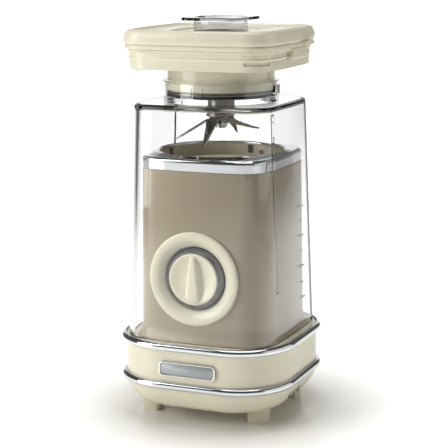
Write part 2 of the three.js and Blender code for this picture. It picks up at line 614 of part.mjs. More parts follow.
// A clear cup with a rounded-square flange and short stand-offs that rest on the lid.
function measuringCap() {
  const bottom = 266;
  const inner = CAP_RADIUS - 1.8;
  const cup = cut(rod(CAP_RADIUS, bottom, CAP_FLANGE + 1, 28), rod(inner, bottom + 2, CAP_FLANGE + 9, 28));
  const flange = squareTower(24.6, 8, 0, [[CAP_FLANGE, 24.6], [CAP_FLANGE + 2.2, 24.6]]);
  const mouth = rod(inner, CAP_FLANGE - 1, CAP_FLANGE + 4, 28);
  const standoffs = around(4, (angle) => block([CAP_RADIUS - 1, -2, LID_TOP - 1.2 + GAP],
    [CAP_RADIUS + 2.2, 2, CAP_FLANGE + 1]).rotate([0, 0, angle + 45]));
  return join(cup, cut(flange, mouth), ...standoffs);
}

// ---- assembly ------------------------------------------------------------------------------

const blades = bladeParts();
const group = new THREE.Group();
group.add(
  ...baseParts(), ...towerParts(), ...motorParts(), ...knobParts(), ...interlockParts(),
  piece('jar', jar(), CLEAR),
  ...blades.carrier, ...blades.collar, ...blades.spinning,
  piece('lid', lid(), CREAM),
  piece('lid_gasket', lidGasket(), CREAM),
  piece('measuring_cap', measuringCap(), CLEAR),
);

export default group;
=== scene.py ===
"""Countertop blender in its storage stack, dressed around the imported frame.

The clear jar stands mouth-down over the painted motor tower, the blade unit is locked in its
neck, and the lid with its measuring cap rests on top. Sizes are in millimetres with the origin
on the table under the middle of the feet, +Z up and the knob facing -Y.
"""

import logging
import math
from collections.abc import Callable, Iterable, Sequence
from dataclasses import dataclass
from enum import Enum

import bmesh
import bpy
from mathutils import Matrix, Vector


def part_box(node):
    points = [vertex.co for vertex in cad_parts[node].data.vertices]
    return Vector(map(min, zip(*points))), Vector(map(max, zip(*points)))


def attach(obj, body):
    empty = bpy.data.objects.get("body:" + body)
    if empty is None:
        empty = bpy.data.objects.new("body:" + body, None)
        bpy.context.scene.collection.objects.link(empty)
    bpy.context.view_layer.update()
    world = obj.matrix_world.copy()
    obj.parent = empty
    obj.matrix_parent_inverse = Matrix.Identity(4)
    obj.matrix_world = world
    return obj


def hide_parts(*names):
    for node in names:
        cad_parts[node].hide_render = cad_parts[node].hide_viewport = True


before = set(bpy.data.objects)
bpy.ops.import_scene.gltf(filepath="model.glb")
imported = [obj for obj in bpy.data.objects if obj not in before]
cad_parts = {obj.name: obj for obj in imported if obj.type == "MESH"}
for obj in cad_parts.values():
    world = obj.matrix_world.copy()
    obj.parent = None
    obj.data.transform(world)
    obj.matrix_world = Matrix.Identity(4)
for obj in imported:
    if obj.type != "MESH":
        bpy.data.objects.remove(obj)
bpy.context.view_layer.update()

LOG = logging.getLogger("countertop_blender")

MM = 0.001
SEAM_GAP = 0.3  # mm between tray and shell
WELD = 1e-3  # mm, points closer than this are one
ON_PLANE = 1e-5  # mm, points closer than this to a cutting plane lie on it
HOLD = 0.5  # mm, from the end of a straight run to the edge that keeps it flat
Point = tuple[float, float]
Corner = tuple[float, float, float]


# ---- forms ---------------------------------------------------------------------------------


def eased(corners: Sequence[Corner], steps: int = 5) -> list[Point]:
    """Rounds the corners of a profile with the bevel operator.

    Args:
        corners: Across, height and rounding of each corner, in order.
        steps: Segments in each rounded corner.

    Returns:
        The points of the softened profile, in the same order.
    """
    wire = bmesh.new()
    spots = [wire.verts.new((across, 0.0, height)) for across, height, _ in corners]
    for pair in zip(spots, spots[1:]):
        wire.edges.new(pair)
    for spot, (_, _, rounding) in zip(spots, corners):
        if rounding > 0 and len(spot.link_edges) == 2:
            bmesh.ops.bevel(wire, geom=[spot], offset=rounding, offset_type="OFFSET", segments=steps,
                            profile=0.5, affect="VERTICES", material=-1)
    here, came_by = spots[0], None
    path = [(here.co.x, here.co.z)]
    while True:
        onward = [edge for edge in here.link_edges if edge is not came_by]
        if not onward:
            break
        came_by = onward[0]
        here = came_by.other_vert(here)
        path.append((here.co.x, here.co.z))
    wire.free()
    return held(path)


def held(path: list[Point]) -> list[Point]:
    """Adds a point near both ends of every long straight run, so that flats shade flat."""
    kept = path[:1]
    for (x0, z0), (x1, z1) in zip(path, path[1:]):
        length = math.hypot(x1 - x0, z1 - z0)
        if length > 4 * HOLD:
            share = HOLD / length
            kept += [(x0 + (x1 - x0) * part, z0 + (z1 - z0) * part) for part in (share, 1 - share)]
        kept.append((x1, z1))
    return kept


@dataclass(frozen=True)
class Level:
    """One level of a lofted shell: half its width, its height, and how round it is (0 to 1)."""

    half: float
    height: float
    roundness: float = 0.0


def levels(corners: Sequence[Corner], roundness: float = 0.0, steps: int = 5) -> list[Level]:
    """Turns a profile into loft levels that are all equally round."""
    return [Level(across, height, roundness) for across, height in eased(corners, steps)]


@dataclass(frozen=True)
class SquareOutline:
    """A rounded square whose straight sides may bow out at their middles."""

    half: float
    corner: float
    bulge: float = 0.0
    arc_steps: int = 12
    side_steps: int = 12

    def draw(self, mesh: bmesh.types.BMesh) -> None:
        """Draws the outline on the ground plane of an empty mesh."""
        bmesh.ops.create_grid(mesh, x_segments=1, y_segments=1, size=self.half)
        bmesh.ops.bevel(mesh, geom=mesh.verts[:], offset=self.corner, offset_type="OFFSET",
                        segments=self.arc_steps, profile=0.5, affect="VERTICES", material=-1)
        reach = self.half - self.corner
        straight = [edge for edge in mesh.edges if edge.calc_length() > reach]
        bmesh.ops.subdivide_edges(mesh, edges=straight, cuts=self.side_steps - 1)
        for vert in mesh.verts:
            for along, across in ((0, 1), (1, 0)):
                if abs(vert.co[along]) < reach and abs(vert.co[across]) > self.half - WELD:
                    bow = self.bulge * (1 - (vert.co[along] / reach) ** 2)
                    vert.co[across] += math.copysign(bow, vert.co[across])


class Form:
    """A closed mesh that is shaped with bmesh operators, in millimetres."""

    def __init__(self) -> None:
        self.mesh = bmesh.new()

    @classmethod
    def turned(cls, profile: Sequence[Point], sides: int = 72) -> "Form":
        """Spins a profile of (radius, height) points round the Z axis."""
        form = cls()
        spots = [form.mesh.verts.new((radius, 0.0, height)) for radius, height in profile]
        edges = [form.mesh.edges.new(pair) for pair in zip(spots, spots[1:])]
        bmesh.ops.spin(form.mesh, geom=[*spots, *edges], cent=(0, 0, 0), axis=(0, 0, 1), dvec=(0, 0, 0),
                       angle=math.tau, steps=sides, use_merge=True, use_duplicate=False)
        return form.closed()

    @classmethod
    def lofted(cls, outline: SquareOutline, steps: Sequence[Level]) -> "Form":
        """Extrudes an outline from level to level, and fills or welds its two ends.

        Args:
            outline: The outline, drawn at its own half width.
            steps: The levels in order. If the last is where the first is, the shell is a ring.
        """
        form = cls()
        mesh = form.mesh
        drawn = mesh.verts.layers.float_vector.new("drawn")
        outline.draw(mesh)
        for vert in mesh.verts:
            vert[drawn] = vert.co.copy()
        bmesh.ops.delete(mesh, geom=mesh.faces[:], context="FACES_ONLY")

        def settle(verts: Iterable[bmesh.types.BMVert], level: Level) -> None:
            for vert in verts:
                spot = Vector(vert[drawn])
                square = spot * (level.half / outline.half)
                spread = square.lerp(spot.normalized() * level.half, level.roundness)
                vert.co = (spread.x, spread.y, level.height)

        settle(mesh.verts, steps[0])
        rim = mesh.edges[:]
        for level in steps[1:]:
            grown = bmesh.ops.extrude_edge_only(mesh, edges=rim)["geom"]
            settle([part for part in grown if isinstance(part, bmesh.types.BMVert)], level)
            rim = [part for part in grown if isinstance(part, bmesh.types.BMEdge) and part.is_boundary]
        mesh.verts.layers.float_vector.remove(drawn)
        return form.closed()

    @classmethod
    def plate(cls, half_width: float, half_height: float, corner: float, thick: float,
              steps: int = 6) -> "Form":
        """Raises a rounded rectangle from the ground plane to a thickness."""
        form = cls()
        mesh = form.mesh
        bmesh.ops.create_grid(mesh, x_segments=1, y_segments=1, size=1)
        bmesh.ops.scale(mesh, vec=(half_width, half_height, 1), verts=mesh.verts)
        if corner > 0:
            bmesh.ops.bevel(mesh, geom=mesh.verts[:], offset=corner, offset_type="OFFSET", segments=steps,
                            profile=0.5, affect="VERTICES", material=-1)
        return form.raised(thick)

    @classmethod
    def slab(cls, outline: Sequence[Point], thick: float) -> "Form":
        """Raises a few corner points on the ground plane to a thickness."""
        form = cls()
        form.mesh.faces.new([form.mesh.verts.new((x, y, 0.0)) for x, y in outline])
        return form.raised(thick)

    def raised(self, thick: float) -> "Form":
        """Extrudes the faces drawn so far upwards."""
        grown = bmesh.ops.extrude_face_region(self.mesh, geom=self.mesh.faces[:])["geom"]
        top = [part for part in grown if isinstance(part, bmesh.types.BMVert)]
        bmesh.ops.translate(self.mesh, vec=(0, 0, thick), verts=top)
        return self.closed()

    def closed(self) -> "Form":
        """Welds doubles, fills open ends and turns every face outwards."""
        bmesh.ops.remove_doubles(self.mesh, verts=self.mesh.verts, dist=WELD)
        open_edges = [edge for edge in self.mesh.edges if edge.is_boundary]
        if open_edges:
            bmesh.ops.edgeloop_fill(self.mesh, edges=open_edges)
        bmesh.ops.recalc_face_normals(self.mesh, faces=self.mesh.faces)
        return self

    def scored(self, spots: Iterable[float], axis: int,
               where: Callable[[Vector], bool] = lambda centre: True) -> "Form":
        """Cuts edges across the faces at planes square to an axis, and removes nothing."""
        normal = Vector((0, 0, 0))
        normal[axis] = 1
        for spot in spots:
            faces = [face for face in self.mesh.faces if where(face.calc_center_median())]
            parts = {*faces, *(e for f in faces for e in f.edges), *(v for f in faces for v in f.verts)}
            bmesh.ops.bisect_plane(self.mesh, geom=list(parts), dist=ON_PLANE, plane_co=normal * spot,
                                   plane_no=normal)
        return self

    def faces(self, where: Callable[[Vector, Vector], bool]) -> list[bmesh.types.BMFace]:
        """The faces whose centre and normal pass a test."""
        return [face for face in self.mesh.faces if where(face.calc_center_median(), face.normal)]

    def sunk(self, faces: list[bmesh.types.BMFace], depth: float, border: float = 0.2) -> "Form":
        """Insets a patch of faces and pushes it in by a depth, or out where depth is negative."""
        bmesh.ops.inset_region(self.mesh, faces=faces, thickness=border, depth=-depth, use_even_offset=True)
        return self

    def softened(self, width: float, angle: float = 30, steps: int = 3) -> "Form":
        """Bevels every edge that is sharper than an angle, in degrees."""
        sharp = [edge for edge in self.mesh.edges
                 if len(edge.link_faces) == 2 and edge.calc_face_angle() > math.radians(angle)]
        bmesh.ops.bevel(self.mesh, geom=sharp, offset=width, offset_type="OFFSET", segments=steps,
                        profile=0.5, affect="EDGES", clamp_overlap=True, material=-1)
        return self

    def moved(self, x: float = 0, y: float = 0, z: float = 0) -> "Form":
        """Moves the whole form."""
        bmesh.ops.translate(self.mesh, vec=(x, y, z), verts=self.mesh.verts)
        return self

    def rolled(self, degrees: float, axis: str) -> "Form":
        """Turns the whole form about an axis through the origin."""
        bmesh.ops.rotate(self.mesh, cent=(0, 0, 0), matrix=Matrix.Rotation(math.radians(degrees), 3, axis),
                         verts=self.mesh.verts)
        return self

    def facing_front(self) -> "Form":
        """Lays a form over so that its +Z points to -Y."""
        return self.rolled(90, "X")

    def joined(self, *others: "Form") -> "Form":
        """Takes other forms into this one as separate shells, and uses them up."""
        for other in others:
            spare = bpy.data.meshes.new("spare")
            other.mesh.to_mesh(spare)
            other.mesh.free()
            self.mesh.from_mesh(spare)
            bpy.data.meshes.remove(spare)
        return self

    def as_object(self, name: str, crease: float = 35) -> bpy.types.Object:
        """Makes the finished mesh an object at the origin, in metres, and uses the form up.

        Args:
            name: Name of the piece.
            crease: Angle in degrees past which an edge is drawn sharp.

        Returns:
            The new object.
        """
        bmesh.ops.scale(self.mesh, vec=(MM, MM, MM), verts=self.mesh.verts)
        data = bpy.data.meshes.new(name)
        self.mesh.to_mesh(data)
        self.mesh.free()
        data.polygons.foreach_set("use_smooth", [True] * len(data.polygons))
        data.set_sharp_from_angle(angle=math.radians(crease))
        made = bpy.data.objects.new(name, data)
        bpy.context.scene.collection.objects.link(made)
        return made


def box_mm(node: str) -> tuple[Vector, Vector]:
    """The lowest and highest corner of a CAD node, in millimetres."""
    low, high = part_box(node)
    return low / MM, high / MM


# ---- finishes ------------------------------------------------------------------------------


def linear(code: str) -> tuple[float, float, float, float]:
    """Turns an sRGB hex colour such as "E6E1CC" to linear RGBA."""
    parts = [int(code[i:i + 2], 16) / 255 for i in (0, 2, 4)]
    return (*(p / 12.92 if p <= 0.04045 else ((p + 0.055) / 1.055) ** 2.4 for p in parts), 1.0)


def node(tree: bpy.types.NodeTree, kind: str, sockets: dict | None = None, **settings) -> bpy.types.Node:
    """Adds a node.

    Args:
        tree: The material's node tree.
        kind: Type name of the node.
        sockets: What goes into its inputs, by name or number: a socket to link, or a value.
        settings: The node's own settings, by name.

    Returns:
        The new node.
    """
    made = tree.nodes.new(kind)
    for name, value in settings.items():
        setattr(made, name, value)
    for name, value in (sockets or {}).items():
        if isinstance(value, bpy.types.NodeSocket):
            tree.links.new(value, made.inputs[name])
        else:
            made.inputs[name].default_value = value
    return made


def blank(name: str) -> tuple[bpy.types.Material, bpy.types.NodeTree, bpy.types.Node]:
    """A new material, its emptied node tree, and its output node."""
    made = bpy.data.materials.new(name)
    made.use_nodes = True
    made.node_tree.nodes.clear()
    return made, made.node_tree, node(made.node_tree, "ShaderNodeOutputMaterial")


def specks(tree: bpy.types.NodeTree, size: float, detail: float = 2.0,
           stretch: tuple[float, float, float] = (1, 1, 1)) -> bpy.types.NodeSocket:
    """Noise in object space whose features are a real size.

    Args:
        tree: The material's node tree.
        size: Size of a feature, in millimetres.
        detail: Octaves of finer noise.
        stretch: How many times finer the noise is along each axis.

    Returns:
        The noise value's socket.
    """
    place = node(tree, "ShaderNodeTexCoord").outputs["Object"]
    scaled = node(tree, "ShaderNodeMapping", {"Vector": place, "Scale": stretch}).outputs["Vector"]
    return node(tree, "ShaderNodeTexNoise", {"Vector": scaled, "Scale": 1 / (size * MM),
                                             "Detail": detail}).outputs["Fac"]


def span(tree: bpy.types.NodeTree, value: bpy.types.NodeSocket, low: float,
         high: float) -> bpy.types.NodeSocket:
    """Spreads a noise value, which mostly lies from 0.3 to 0.7, between two numbers."""
    return node(tree, "ShaderNodeMapRange", {"Value": value, "From Min": 0.3, "From Max": 0.7,
                                             "To Min": low, "To Max": high}).outputs["Result"]


def blend_colours(tree: bpy.types.NodeTree, share: bpy.types.NodeSocket, first: str,
                  second: str) -> bpy.types.NodeSocket:
    """Mixes two hex colours by a share."""
    mix = node(tree, "ShaderNodeMix", {0: share, 6: linear(first), 7: linear(second)}, data_type="RGBA")
    return mix.outputs[2]


def relief(tree: bpy.types.NodeTree, height: bpy.types.NodeSocket, depth: float,
           strength: float = 1.0) -> bpy.types.NodeSocket:
    """A bump of a real depth in millimetres."""
    return node(tree, "ShaderNodeBump", {"Height": height, "Distance": depth * MM,
                                         "Strength": strength}).outputs["Normal"]


@dataclass(frozen=True)
class MouldedPlastic:
    """Injection-moulded plastic: glossy, with slow sink ripples and a faint moulding grain."""

    name: str
    colour: str
    shade: str
    roughness: float
    ior: float = 1.53
    ripple: float = 14.0  # mm between sink ripples
    grain: float = 0.5  # mm, drawn coarser than real so that it shows
    grain_depth: float = 0.0006

    def make(self) -> bpy.types.Material:
        """Builds the material."""
        made, tree, out = blank(self.name)
        cloud = specks(tree, self.ripple)
        fine = specks(tree, self.grain, 1.0)
        ripples = relief(tree, cloud, 0.004)
        surface = node(tree, "ShaderNodeBump", {"Height": fine, "Distance": self.grain_depth * MM,
                                                "Strength": 1.0, "Normal": ripples}).outputs["Normal"]
        shader = node(tree, "ShaderNodeBsdfPrincipled", {
            "Base Color": blend_colours(tree, span(tree, cloud, 0, 1), self.colour, self.shade),
            "Roughness": span(tree, specks(tree, 6), self.roughness * 0.85, self.roughness * 1.2),
            "IOR": self.ior, "Normal": surface})
        tree.links.new(shader.outputs[0], out.inputs[0])
        return made


@dataclass(frozen=True)
class StovedEnamel:
    """Stoved enamel on steel: a hard clear-topped paint film with a faint orange peel."""

    name: str
    colour: str
    shade: str
    roughness: float = 0.36
    coat: float = 0.4
    coat_roughness: float = 0.2
    flake: float = 0.12  # share of fine metal flake, which widens the sheen
    peel: float = 1.6  # mm across a dimple of the orange peel

    def make(self) -> bpy.types.Material:
        """Builds the material."""
        made, tree, out = blank(self.name)
        cloud = specks(tree, 30)
        dimples = relief(tree, specks(tree, self.peel, 1.0), 0.0004)
        shader = node(tree, "ShaderNodeBsdfPrincipled", {
            "Base Color": blend_colours(tree, span(tree, cloud, 0, 1), self.colour, self.shade),
            "Metallic": self.flake,
            "Roughness": span(tree, specks(tree, 5), self.roughness * 0.9, self.roughness * 1.1),
            "IOR": 1.5, "Coat Weight": self.coat, "Coat Roughness": self.coat_roughness,
            "Normal": dimples, "Coat Normal": dimples})
        tree.links.new(shader.outputs[0], out.inputs[0])
        return made


@dataclass(frozen=True)
class PlatedChrome:
    """Chrome plate on moulded ABS: a near mirror with the faint waviness of the moulding."""

    name: str
    colour: str = "DADCE0"
    roughness: float = 0.05
    wave: float = 9.0  # mm between waves

    def make(self) -> bpy.types.Material:
        """Builds the material."""
        made, tree, out = blank(self.name)
        shader = node(tree, "ShaderNodeBsdfPrincipled", {
            "Base Color": linear(self.colour), "Metallic": 1.0,
            "Roughness": span(tree, specks(tree, 3), self.roughness * 0.7, self.roughness * 1.4),
            "Normal": relief(tree, specks(tree, self.wave, 0.0), 0.002)})
        tree.links.new(shader.outputs[0], out.inputs[0])
        return made


@dataclass(frozen=True)
class ClearPlastic:
    """Clear moulded SAN: see-through walls with slow flow ripples that lets lamps through."""

    name: str
    tint: str
    roughness: float = 0.02
    ior: float = 1.45
    ripple: float = 18.0  # mm between flow ripples
    ripple_depth: float = 0.03
    passed_light: str = "F4F4F2"
    body_tint: str = "D2D5D6"
    density: float = 20.0  # per metre, how fast thick plastic darkens

    def make(self) -> bpy.types.Material:
        """Builds the material."""
        made, tree, out = blank(self.name)
        shader = node(tree, "ShaderNodeBsdfPrincipled", {
            "Base Color": linear(self.tint),
            "Roughness": span(tree, specks(tree, 8), self.roughness * 0.6, self.roughness * 1.5),
            "IOR": self.ior, "Transmission Weight": 1.0,
            "Normal": relief(tree, specks(tree, self.ripple, 0.0), self.ripple_depth)})
        lamps = node(tree, "ShaderNodeBsdfTransparent", {"Color": linear(self.passed_light)})
        shadow = node(tree, "ShaderNodeLightPath").outputs["Is Shadow Ray"]
        mix = node(tree, "ShaderNodeMixShader", {0: shadow, 1: shader.outputs[0], 2: lamps.outputs[0]})
        tree.links.new(mix.outputs[0], out.inputs[0])
        inside = node(tree, "ShaderNodeVolumeAbsorption", {"Color": linear(self.body_tint),
                                                           "Density": self.density})
        tree.links.new(inside.outputs[0], out.inputs["Volume"])
        return made


class Stroke(Enum):
    """How a metal surface was worked, as the noise stretch along X, Y and Z that it leaves."""

    GROUND = (1.0, 12.0, 12.0)
    TURNED = (1.0, 1.0, 30.0)
    BRUSHED = (1.0, 30.0, 30.0)
    CAST = (1.0, 1.0, 1.0)
    STACKED = (0.02, 0.02, 1.0)


@dataclass(frozen=True)
class WorkedMetal:
    """Bare metal with the strokes of grinding, turning, brushing or casting."""

    name: str
    colour: str
    shade: str
    roughness: float
    stroke: Stroke
    pitch: float = 3.0  # mm, length of a stroke
    depth: float = 0.01

    def make(self) -> bpy.types.Material:
        """Builds the material."""
        made, tree, out = blank(self.name)
        strokes = specks(tree, self.pitch, 2.0, self.stroke.value)
        shader = node(tree, "ShaderNodeBsdfPrincipled", {
            "Base Color": blend_colours(tree, span(tree, strokes, 0, 1), self.colour, self.shade),
            "Metallic": 1.0,
            "Roughness": span(tree, strokes, self.roughness * 0.7, self.roughness * 1.3),
            "Normal": relief(tree, strokes, self.depth)})
        tree.links.new(shader.outputs[0], out.inputs[0])
        return made


class Finishes:
    """Every finish of the blender, built once and handed out by name."""

    KNOWN = {
        "cream_abs": MouldedPlastic("cream_abs_gloss_moulded", "E8E3CC", "E5E0C8", 0.22),
        "cream_rubber": MouldedPlastic("cream_tpe_soft_moulded", "E2DDC6", "DDD7BE", 0.55, 1.5),
        "taupe_enamel": StovedEnamel("taupe_stoved_enamel", "A2957F", "9F927C"),
        # A lighter copy of the tower's taupe enamel: painted light that lifts the shade inside the well.
        "well_taupe_painted_light": StovedEnamel("taupe_enamel_painted_light_in_well", "BDB29C", "B7AB95", roughness=0.45, coat=0.2,
                                    coat_roughness=0.3),
        "chrome": PlatedChrome("chrome_plated_abs"),
        # Chrome darkened in colour: a painted dark reflection, used on the knob's bright ring.
        "chrome_painted_dark": PlatedChrome("chrome_plated_abs_painted_dark", "707074", 0.08),
        "clear_san": ClearPlastic("clear_san_moulded", "FBFCFC"),
        "smoky_san": ClearPlastic("smoky_san_moulded", "F4F4F8", ripple=24.0, ripple_depth=0.004,
                                  passed_light="D8D8E0", body_tint="8E8A9E", density=80.0),
        "badge": WorkedMetal("satin_anodised_aluminium", "A6A9AC", "989B9F", 0.42, Stroke.BRUSHED,
                             pitch=6.0, depth=0.004),
        "badge_rim": WorkedMetal("polished_aluminium", "DEDDD8", "D2D1CC", 0.22, Stroke.BRUSHED,
                                 pitch=6.0, depth=0.002),
        "grey_print": MouldedPlastic("pale_grey_pad_print", "A9A7A0", "A29F98", 0.5),
        "blade_steel": WorkedMetal("ground_stainless_steel", "A9A6A2", "8B8884", 0.2, Stroke.GROUND,
                                   pitch=8.0, depth=0.004),
        "turned_steel": WorkedMetal("turned_stainless_steel", "C4C3C2", "AFAEAD", 0.2, Stroke.TURNED,
                                    pitch=12.0, depth=0.003),
        "drawn_steel": WorkedMetal("drawn_stainless_steel", "96918A", "7A756E", 0.34, Stroke.TURNED,
                                   pitch=8.0, depth=0.006),
        "cast_alloy": WorkedMetal("die_cast_aluminium", "A5A7A9", "8D8F92", 0.5, Stroke.CAST,
                                  pitch=0.6, depth=0.03),
        "core_iron": WorkedMetal("stacked_electrical_steel", "6F7073", "47484B", 0.45, Stroke.STACKED,
                                 pitch=0.8, depth=0.05),
        "copper": WorkedMetal("varnished_copper_winding", "B5693A", "8A4724", 0.35, Stroke.STACKED,
                              pitch=0.7, depth=0.06),
        "brass": WorkedMetal("turned_brass", "BFA35A", "A88C45", 0.3, Stroke.TURNED,
                             pitch=10.0, depth=0.004),
        "black_nylon": MouldedPlastic("black_nylon_moulded", "2B2C2E", "242527", 0.45, ior=1.53,
                                      ripple=10.0, grain=0.4, grain_depth=0.004),
        # Dark brown used only on the plates in the vents and the well's slots: painted shade.
        "painted_shade_brown": MouldedPlastic("painted_shade_dark_brown", "4A3F2E", "40362A", 0.5, ior=1.53,
                                      ripple=10.0, grain=0.4, grain_depth=0.002),
        "black_rubber": MouldedPlastic("black_epdm_rubber", "2E2D2B", "262523", 0.75, ior=1.5,
                                       ripple=12.0, grain=0.4, grain_depth=0.005),
    }

    def __init__(self) -> None:
        self.made: dict[str, bpy.types.Material] = {}

    def get(self, name: str) -> bpy.types.Material:
        """The material of a finish, built when it is first asked for."""
        if name not in self.made:
            self.made[name] = self.KNOWN[name].make()
        return self.made[name]


# ---- sub-assemblies ------------------------------------------------------------------------


@dataclass
class SubAssembly:
    """A named group of pieces that dress some nodes of the frame."""

    finishes: Finishes

    def settle(self, piece: bpy.types.Object, finish: str, body: str, slot: str,
               *nodes: str) -> bpy.types.Object:
        """Gives a piece its finish and its body, and hides the CAD nodes that it stands for."""
        piece.data.materials.clear()
        piece.data.materials.append(self.finishes.get(finish))
        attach(piece, body)
        if nodes:
            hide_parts(*nodes)
        LOG.info("%s: %d faces, rides on %s", piece.name, len(piece.data.polygons), body)
        return piece

    def dress(self, finish: str, *nodes: str) -> None:
        """Gives CAD nodes that keep their shape a finish."""
        for name in nodes:
            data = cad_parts[name].data
            data.materials.clear()
            data.materials.append(self.finishes.get(finish))
            LOG.info("%s: CAD node in %s", name, finish)


@dataclass
class BaseStand(SubAssembly):
    """The cream base: tray on four feet, shell, two bright bands and the badge."""

    half: float = 67.5
    corner: float = 43.0
    wall: float = 2.5
    seam: float = 28.3
    ledge: float = 63.0
    band_reach: float = 71.0
    vents: tuple[float, ...] = (-22.0, -13.0, -4.0)
    vent_width: float = 2.8
    vent_low: float = 16.5
    vent_high: float = 23.0
    grille: tuple[float, ...] = (-10.0, 0.0, 10.0)
    grille_slot: float = 3.2
    grille_reach: float = 18.0

    @property
    def outline(self) -> SquareOutline:
        """The outline of the base."""
        return SquareOutline(self.half, self.corner, 0.0, 16, 8)

    def build(self) -> None:
        """Builds and dresses every piece of the base."""
        self.settle(self.tray(), "cream_abs", "base", "cream_plastic", "bottom_tray")
        self.settle(self.shell(), "cream_abs", "base", "cream_plastic", "base_shell")
        for node_name in ("trim_band_lower", "trim_band_upper"):
            self.settle(self.band(node_name), "chrome", "base", "chrome_trim", node_name)
        self.settle(self.badge(), "badge_rim", "base", "satin_badge", "badge_plate")
        self.settle(self.badge_field(), "badge", "base", "satin_badge")
        # Dark plates in the side vents: painted shade.
        self.settle(self.vent_shade_plates(), "painted_shade_brown", "base", "dark_plastic")
        self.settle(self.grommet(), "black_rubber", "base", "rubber", "cable_grommet")
        for number in range(1, 5):
            name = f"foot_{number}"
            self.settle(self.foot(name), "cream_rubber", "base", "cream_foot", name)
        self.dress("turned_steel", *(f"tray_screw_{number}" for number in range(1, 5)))

    def tray(self) -> bpy.types.Object:
        """The bowl-shaped bottom tray with its side vents and the grille below."""
        low = box_mm("bottom_tray")[0].z
        inner = self.half - self.wall
        edge = self.seam - SEAM_GAP
        steps = levels([(56, low, 1.4), (60.6, low + 2.8, 2.5), (64.8, low + 8.4, 4),
                        (self.half, low + 15, 3), (self.half, edge, 0.2), (inner, edge, 0.2),
                        (inner, low + 14.5, 3), (61.6, low + 8, 3), (55, low + self.wall, 1)])
        form = Form.lofted(self.outline, steps)
        side = lambda centre: abs(centre.x) > 52 and -30 < centre.y < 6
        form.scored((self.vent_low, self.vent_high), 2, side)
        form.scored([edge for y in self.vents for edge in (y, y + self.vent_width)], 1, side)
        slots = form.faces(lambda centre, normal: abs(centre.x) > 52 and normal.x * centre.x > 0
                           and self.vent_low < centre.z < self.vent_high
                           and any(y < centre.y < y + self.vent_width for y in self.vents))
        form.sunk(slots, 2.2, 0.1)
        reach, half_slot = self.grille_reach, self.grille_slot / 2
        under = lambda centre: centre.z < low + 0.1
        form.scored((-reach, reach), 1, under)
        form.scored([edge for x in self.grille for edge in (x - half_slot, x + half_slot)], 0, under)
        grille = form.faces(lambda centre, normal: under(centre) and abs(centre.y) < reach
                            and any(abs(centre.x - x) < half_slot for x in self.grille))
        form.sunk(grille, 1.6, 0.1)
        return form.as_object("tray_bowl")

    def shell(self) -> bpy.types.Object:
        """The upright shell with its rounded ledge."""
        inner = self.half - self.wall
        steps = levels([(self.half, self.seam, 0.2), (self.half, self.ledge, 1.4), (48.2, self.ledge, 0.4),
                        (48.2, self.ledge - self.wall, 0.4), (inner, self.ledge - self.wall, 1),
                        (inner, self.seam, 0.2), (self.half, self.seam, 0)])
        return Form.lofted(self.outline, steps).as_object("base_housing")

    def band(self, node_name: str) -> bpy.types.Object:
        """One half-round bright band, in the place of its node."""
        low, high = box_mm(node_name)
        inner = self.half + 0.25
        steps = levels([(inner, low.z, 0), (self.band_reach, low.z, 2.6), (self.band_reach, high.z, 2.6),
                        (inner, high.z, 0), (inner, low.z, 0)], steps=7)
        return Form.lofted(self.outline, steps).as_object(f"{node_name}_bright")

    def badge(self) -> bpy.types.Object:
        """A plain plate with a raised, rounded border."""
        low, high = box_mm("badge_plate")
        half_width, half_height = high.x, (high.z - low.z) / 2
        form = Form.plate(half_width, half_height, 3.4, high.y - low.y)
        front = form.faces(lambda centre, normal: normal.z > 0.9)
        bmesh.ops.inset_region(form.mesh, faces=front, thickness=1.3, depth=0.0)
        form.sunk(front, 0.8, 0.2)
        form.softened(0.3, 40, 2).facing_front().moved(0, high.y, (low.z + high.z) / 2)
        return form.as_object("badge_blank")

    def badge_field(self) -> bpy.types.Object:
        """The darker satin field inside the badge's border."""
        low, high = box_mm("badge_plate")
        form = Form.plate(high.x - 1.6, (high.z - low.z) / 2 - 1.6, 2.0, 0.3).softened(0.08, 40, 2)
        return form.facing_front().moved(0, low.y + 0.9, (low.z + high.z) / 2).as_object("badge_satin_field")

    def vent_shade_plates(self) -> bpy.types.Object:
        """Dark plates at the floors of the side vents: painted shade in the vent openings."""
        middle = (self.vent_low + self.vent_high) / 2
        half_tall = (self.vent_high - self.vent_low) / 2 - 0.15
        half_wide = self.vent_width / 2 - 0.15

        def shade_plate(side: int, y: float) -> Form:
            form = Form.plate(half_wide, half_tall, 0.4, 0.3, 2).rolled(90, "X").rolled(90, "Z")
            leaning = form.rolled(14 * side, "Y")
            return leaning.moved(side * 64.6, y + self.vent_width / 2, middle)

        shade_plates = [shade_plate(side, y) for side in (-1, 1) for y in self.vents]
        return shade_plates[0].joined(*shade_plates[1:]).as_object("vent_painted_shade")

    def grommet(self) -> bpy.types.Object:
        """The hollow grommet in the back of the tray."""
        low, high = box_mm("cable_grommet")
        depth = high.y - low.y
        profile = eased([(2.6, 0, 0.4), (4.2, 0, 0.3), (4.2, depth - 3.1, 0.2), (6.6, depth - 3.1, 0.3),
                         (6.6, depth, 0.8), (2.6, depth, 0.6), (2.6, 0, 0)], 3)
        form = Form.turned(profile, 32).rolled(-90, "X").moved(0, low.y, (low.z + high.z) / 2)
        return form.as_object("lead_grommet")

    def foot(self, node_name: str) -> bpy.types.Object:
        """A tapered block foot that flows out of the tray."""
        low, high = box_mm(node_name)
        centre = (low + high) / 2
        pad = SquareOutline(7.8, 3, 0.2, 8, 4)
        steps = levels([(6.6, low.z, 0.6), (7.0, low.z + 1, 0.4), (7.9, 12.6, 0)], steps=4)
        return Form.lofted(pad, steps).moved(centre.x, centre.y).as_object(f"{node_name}_pad")


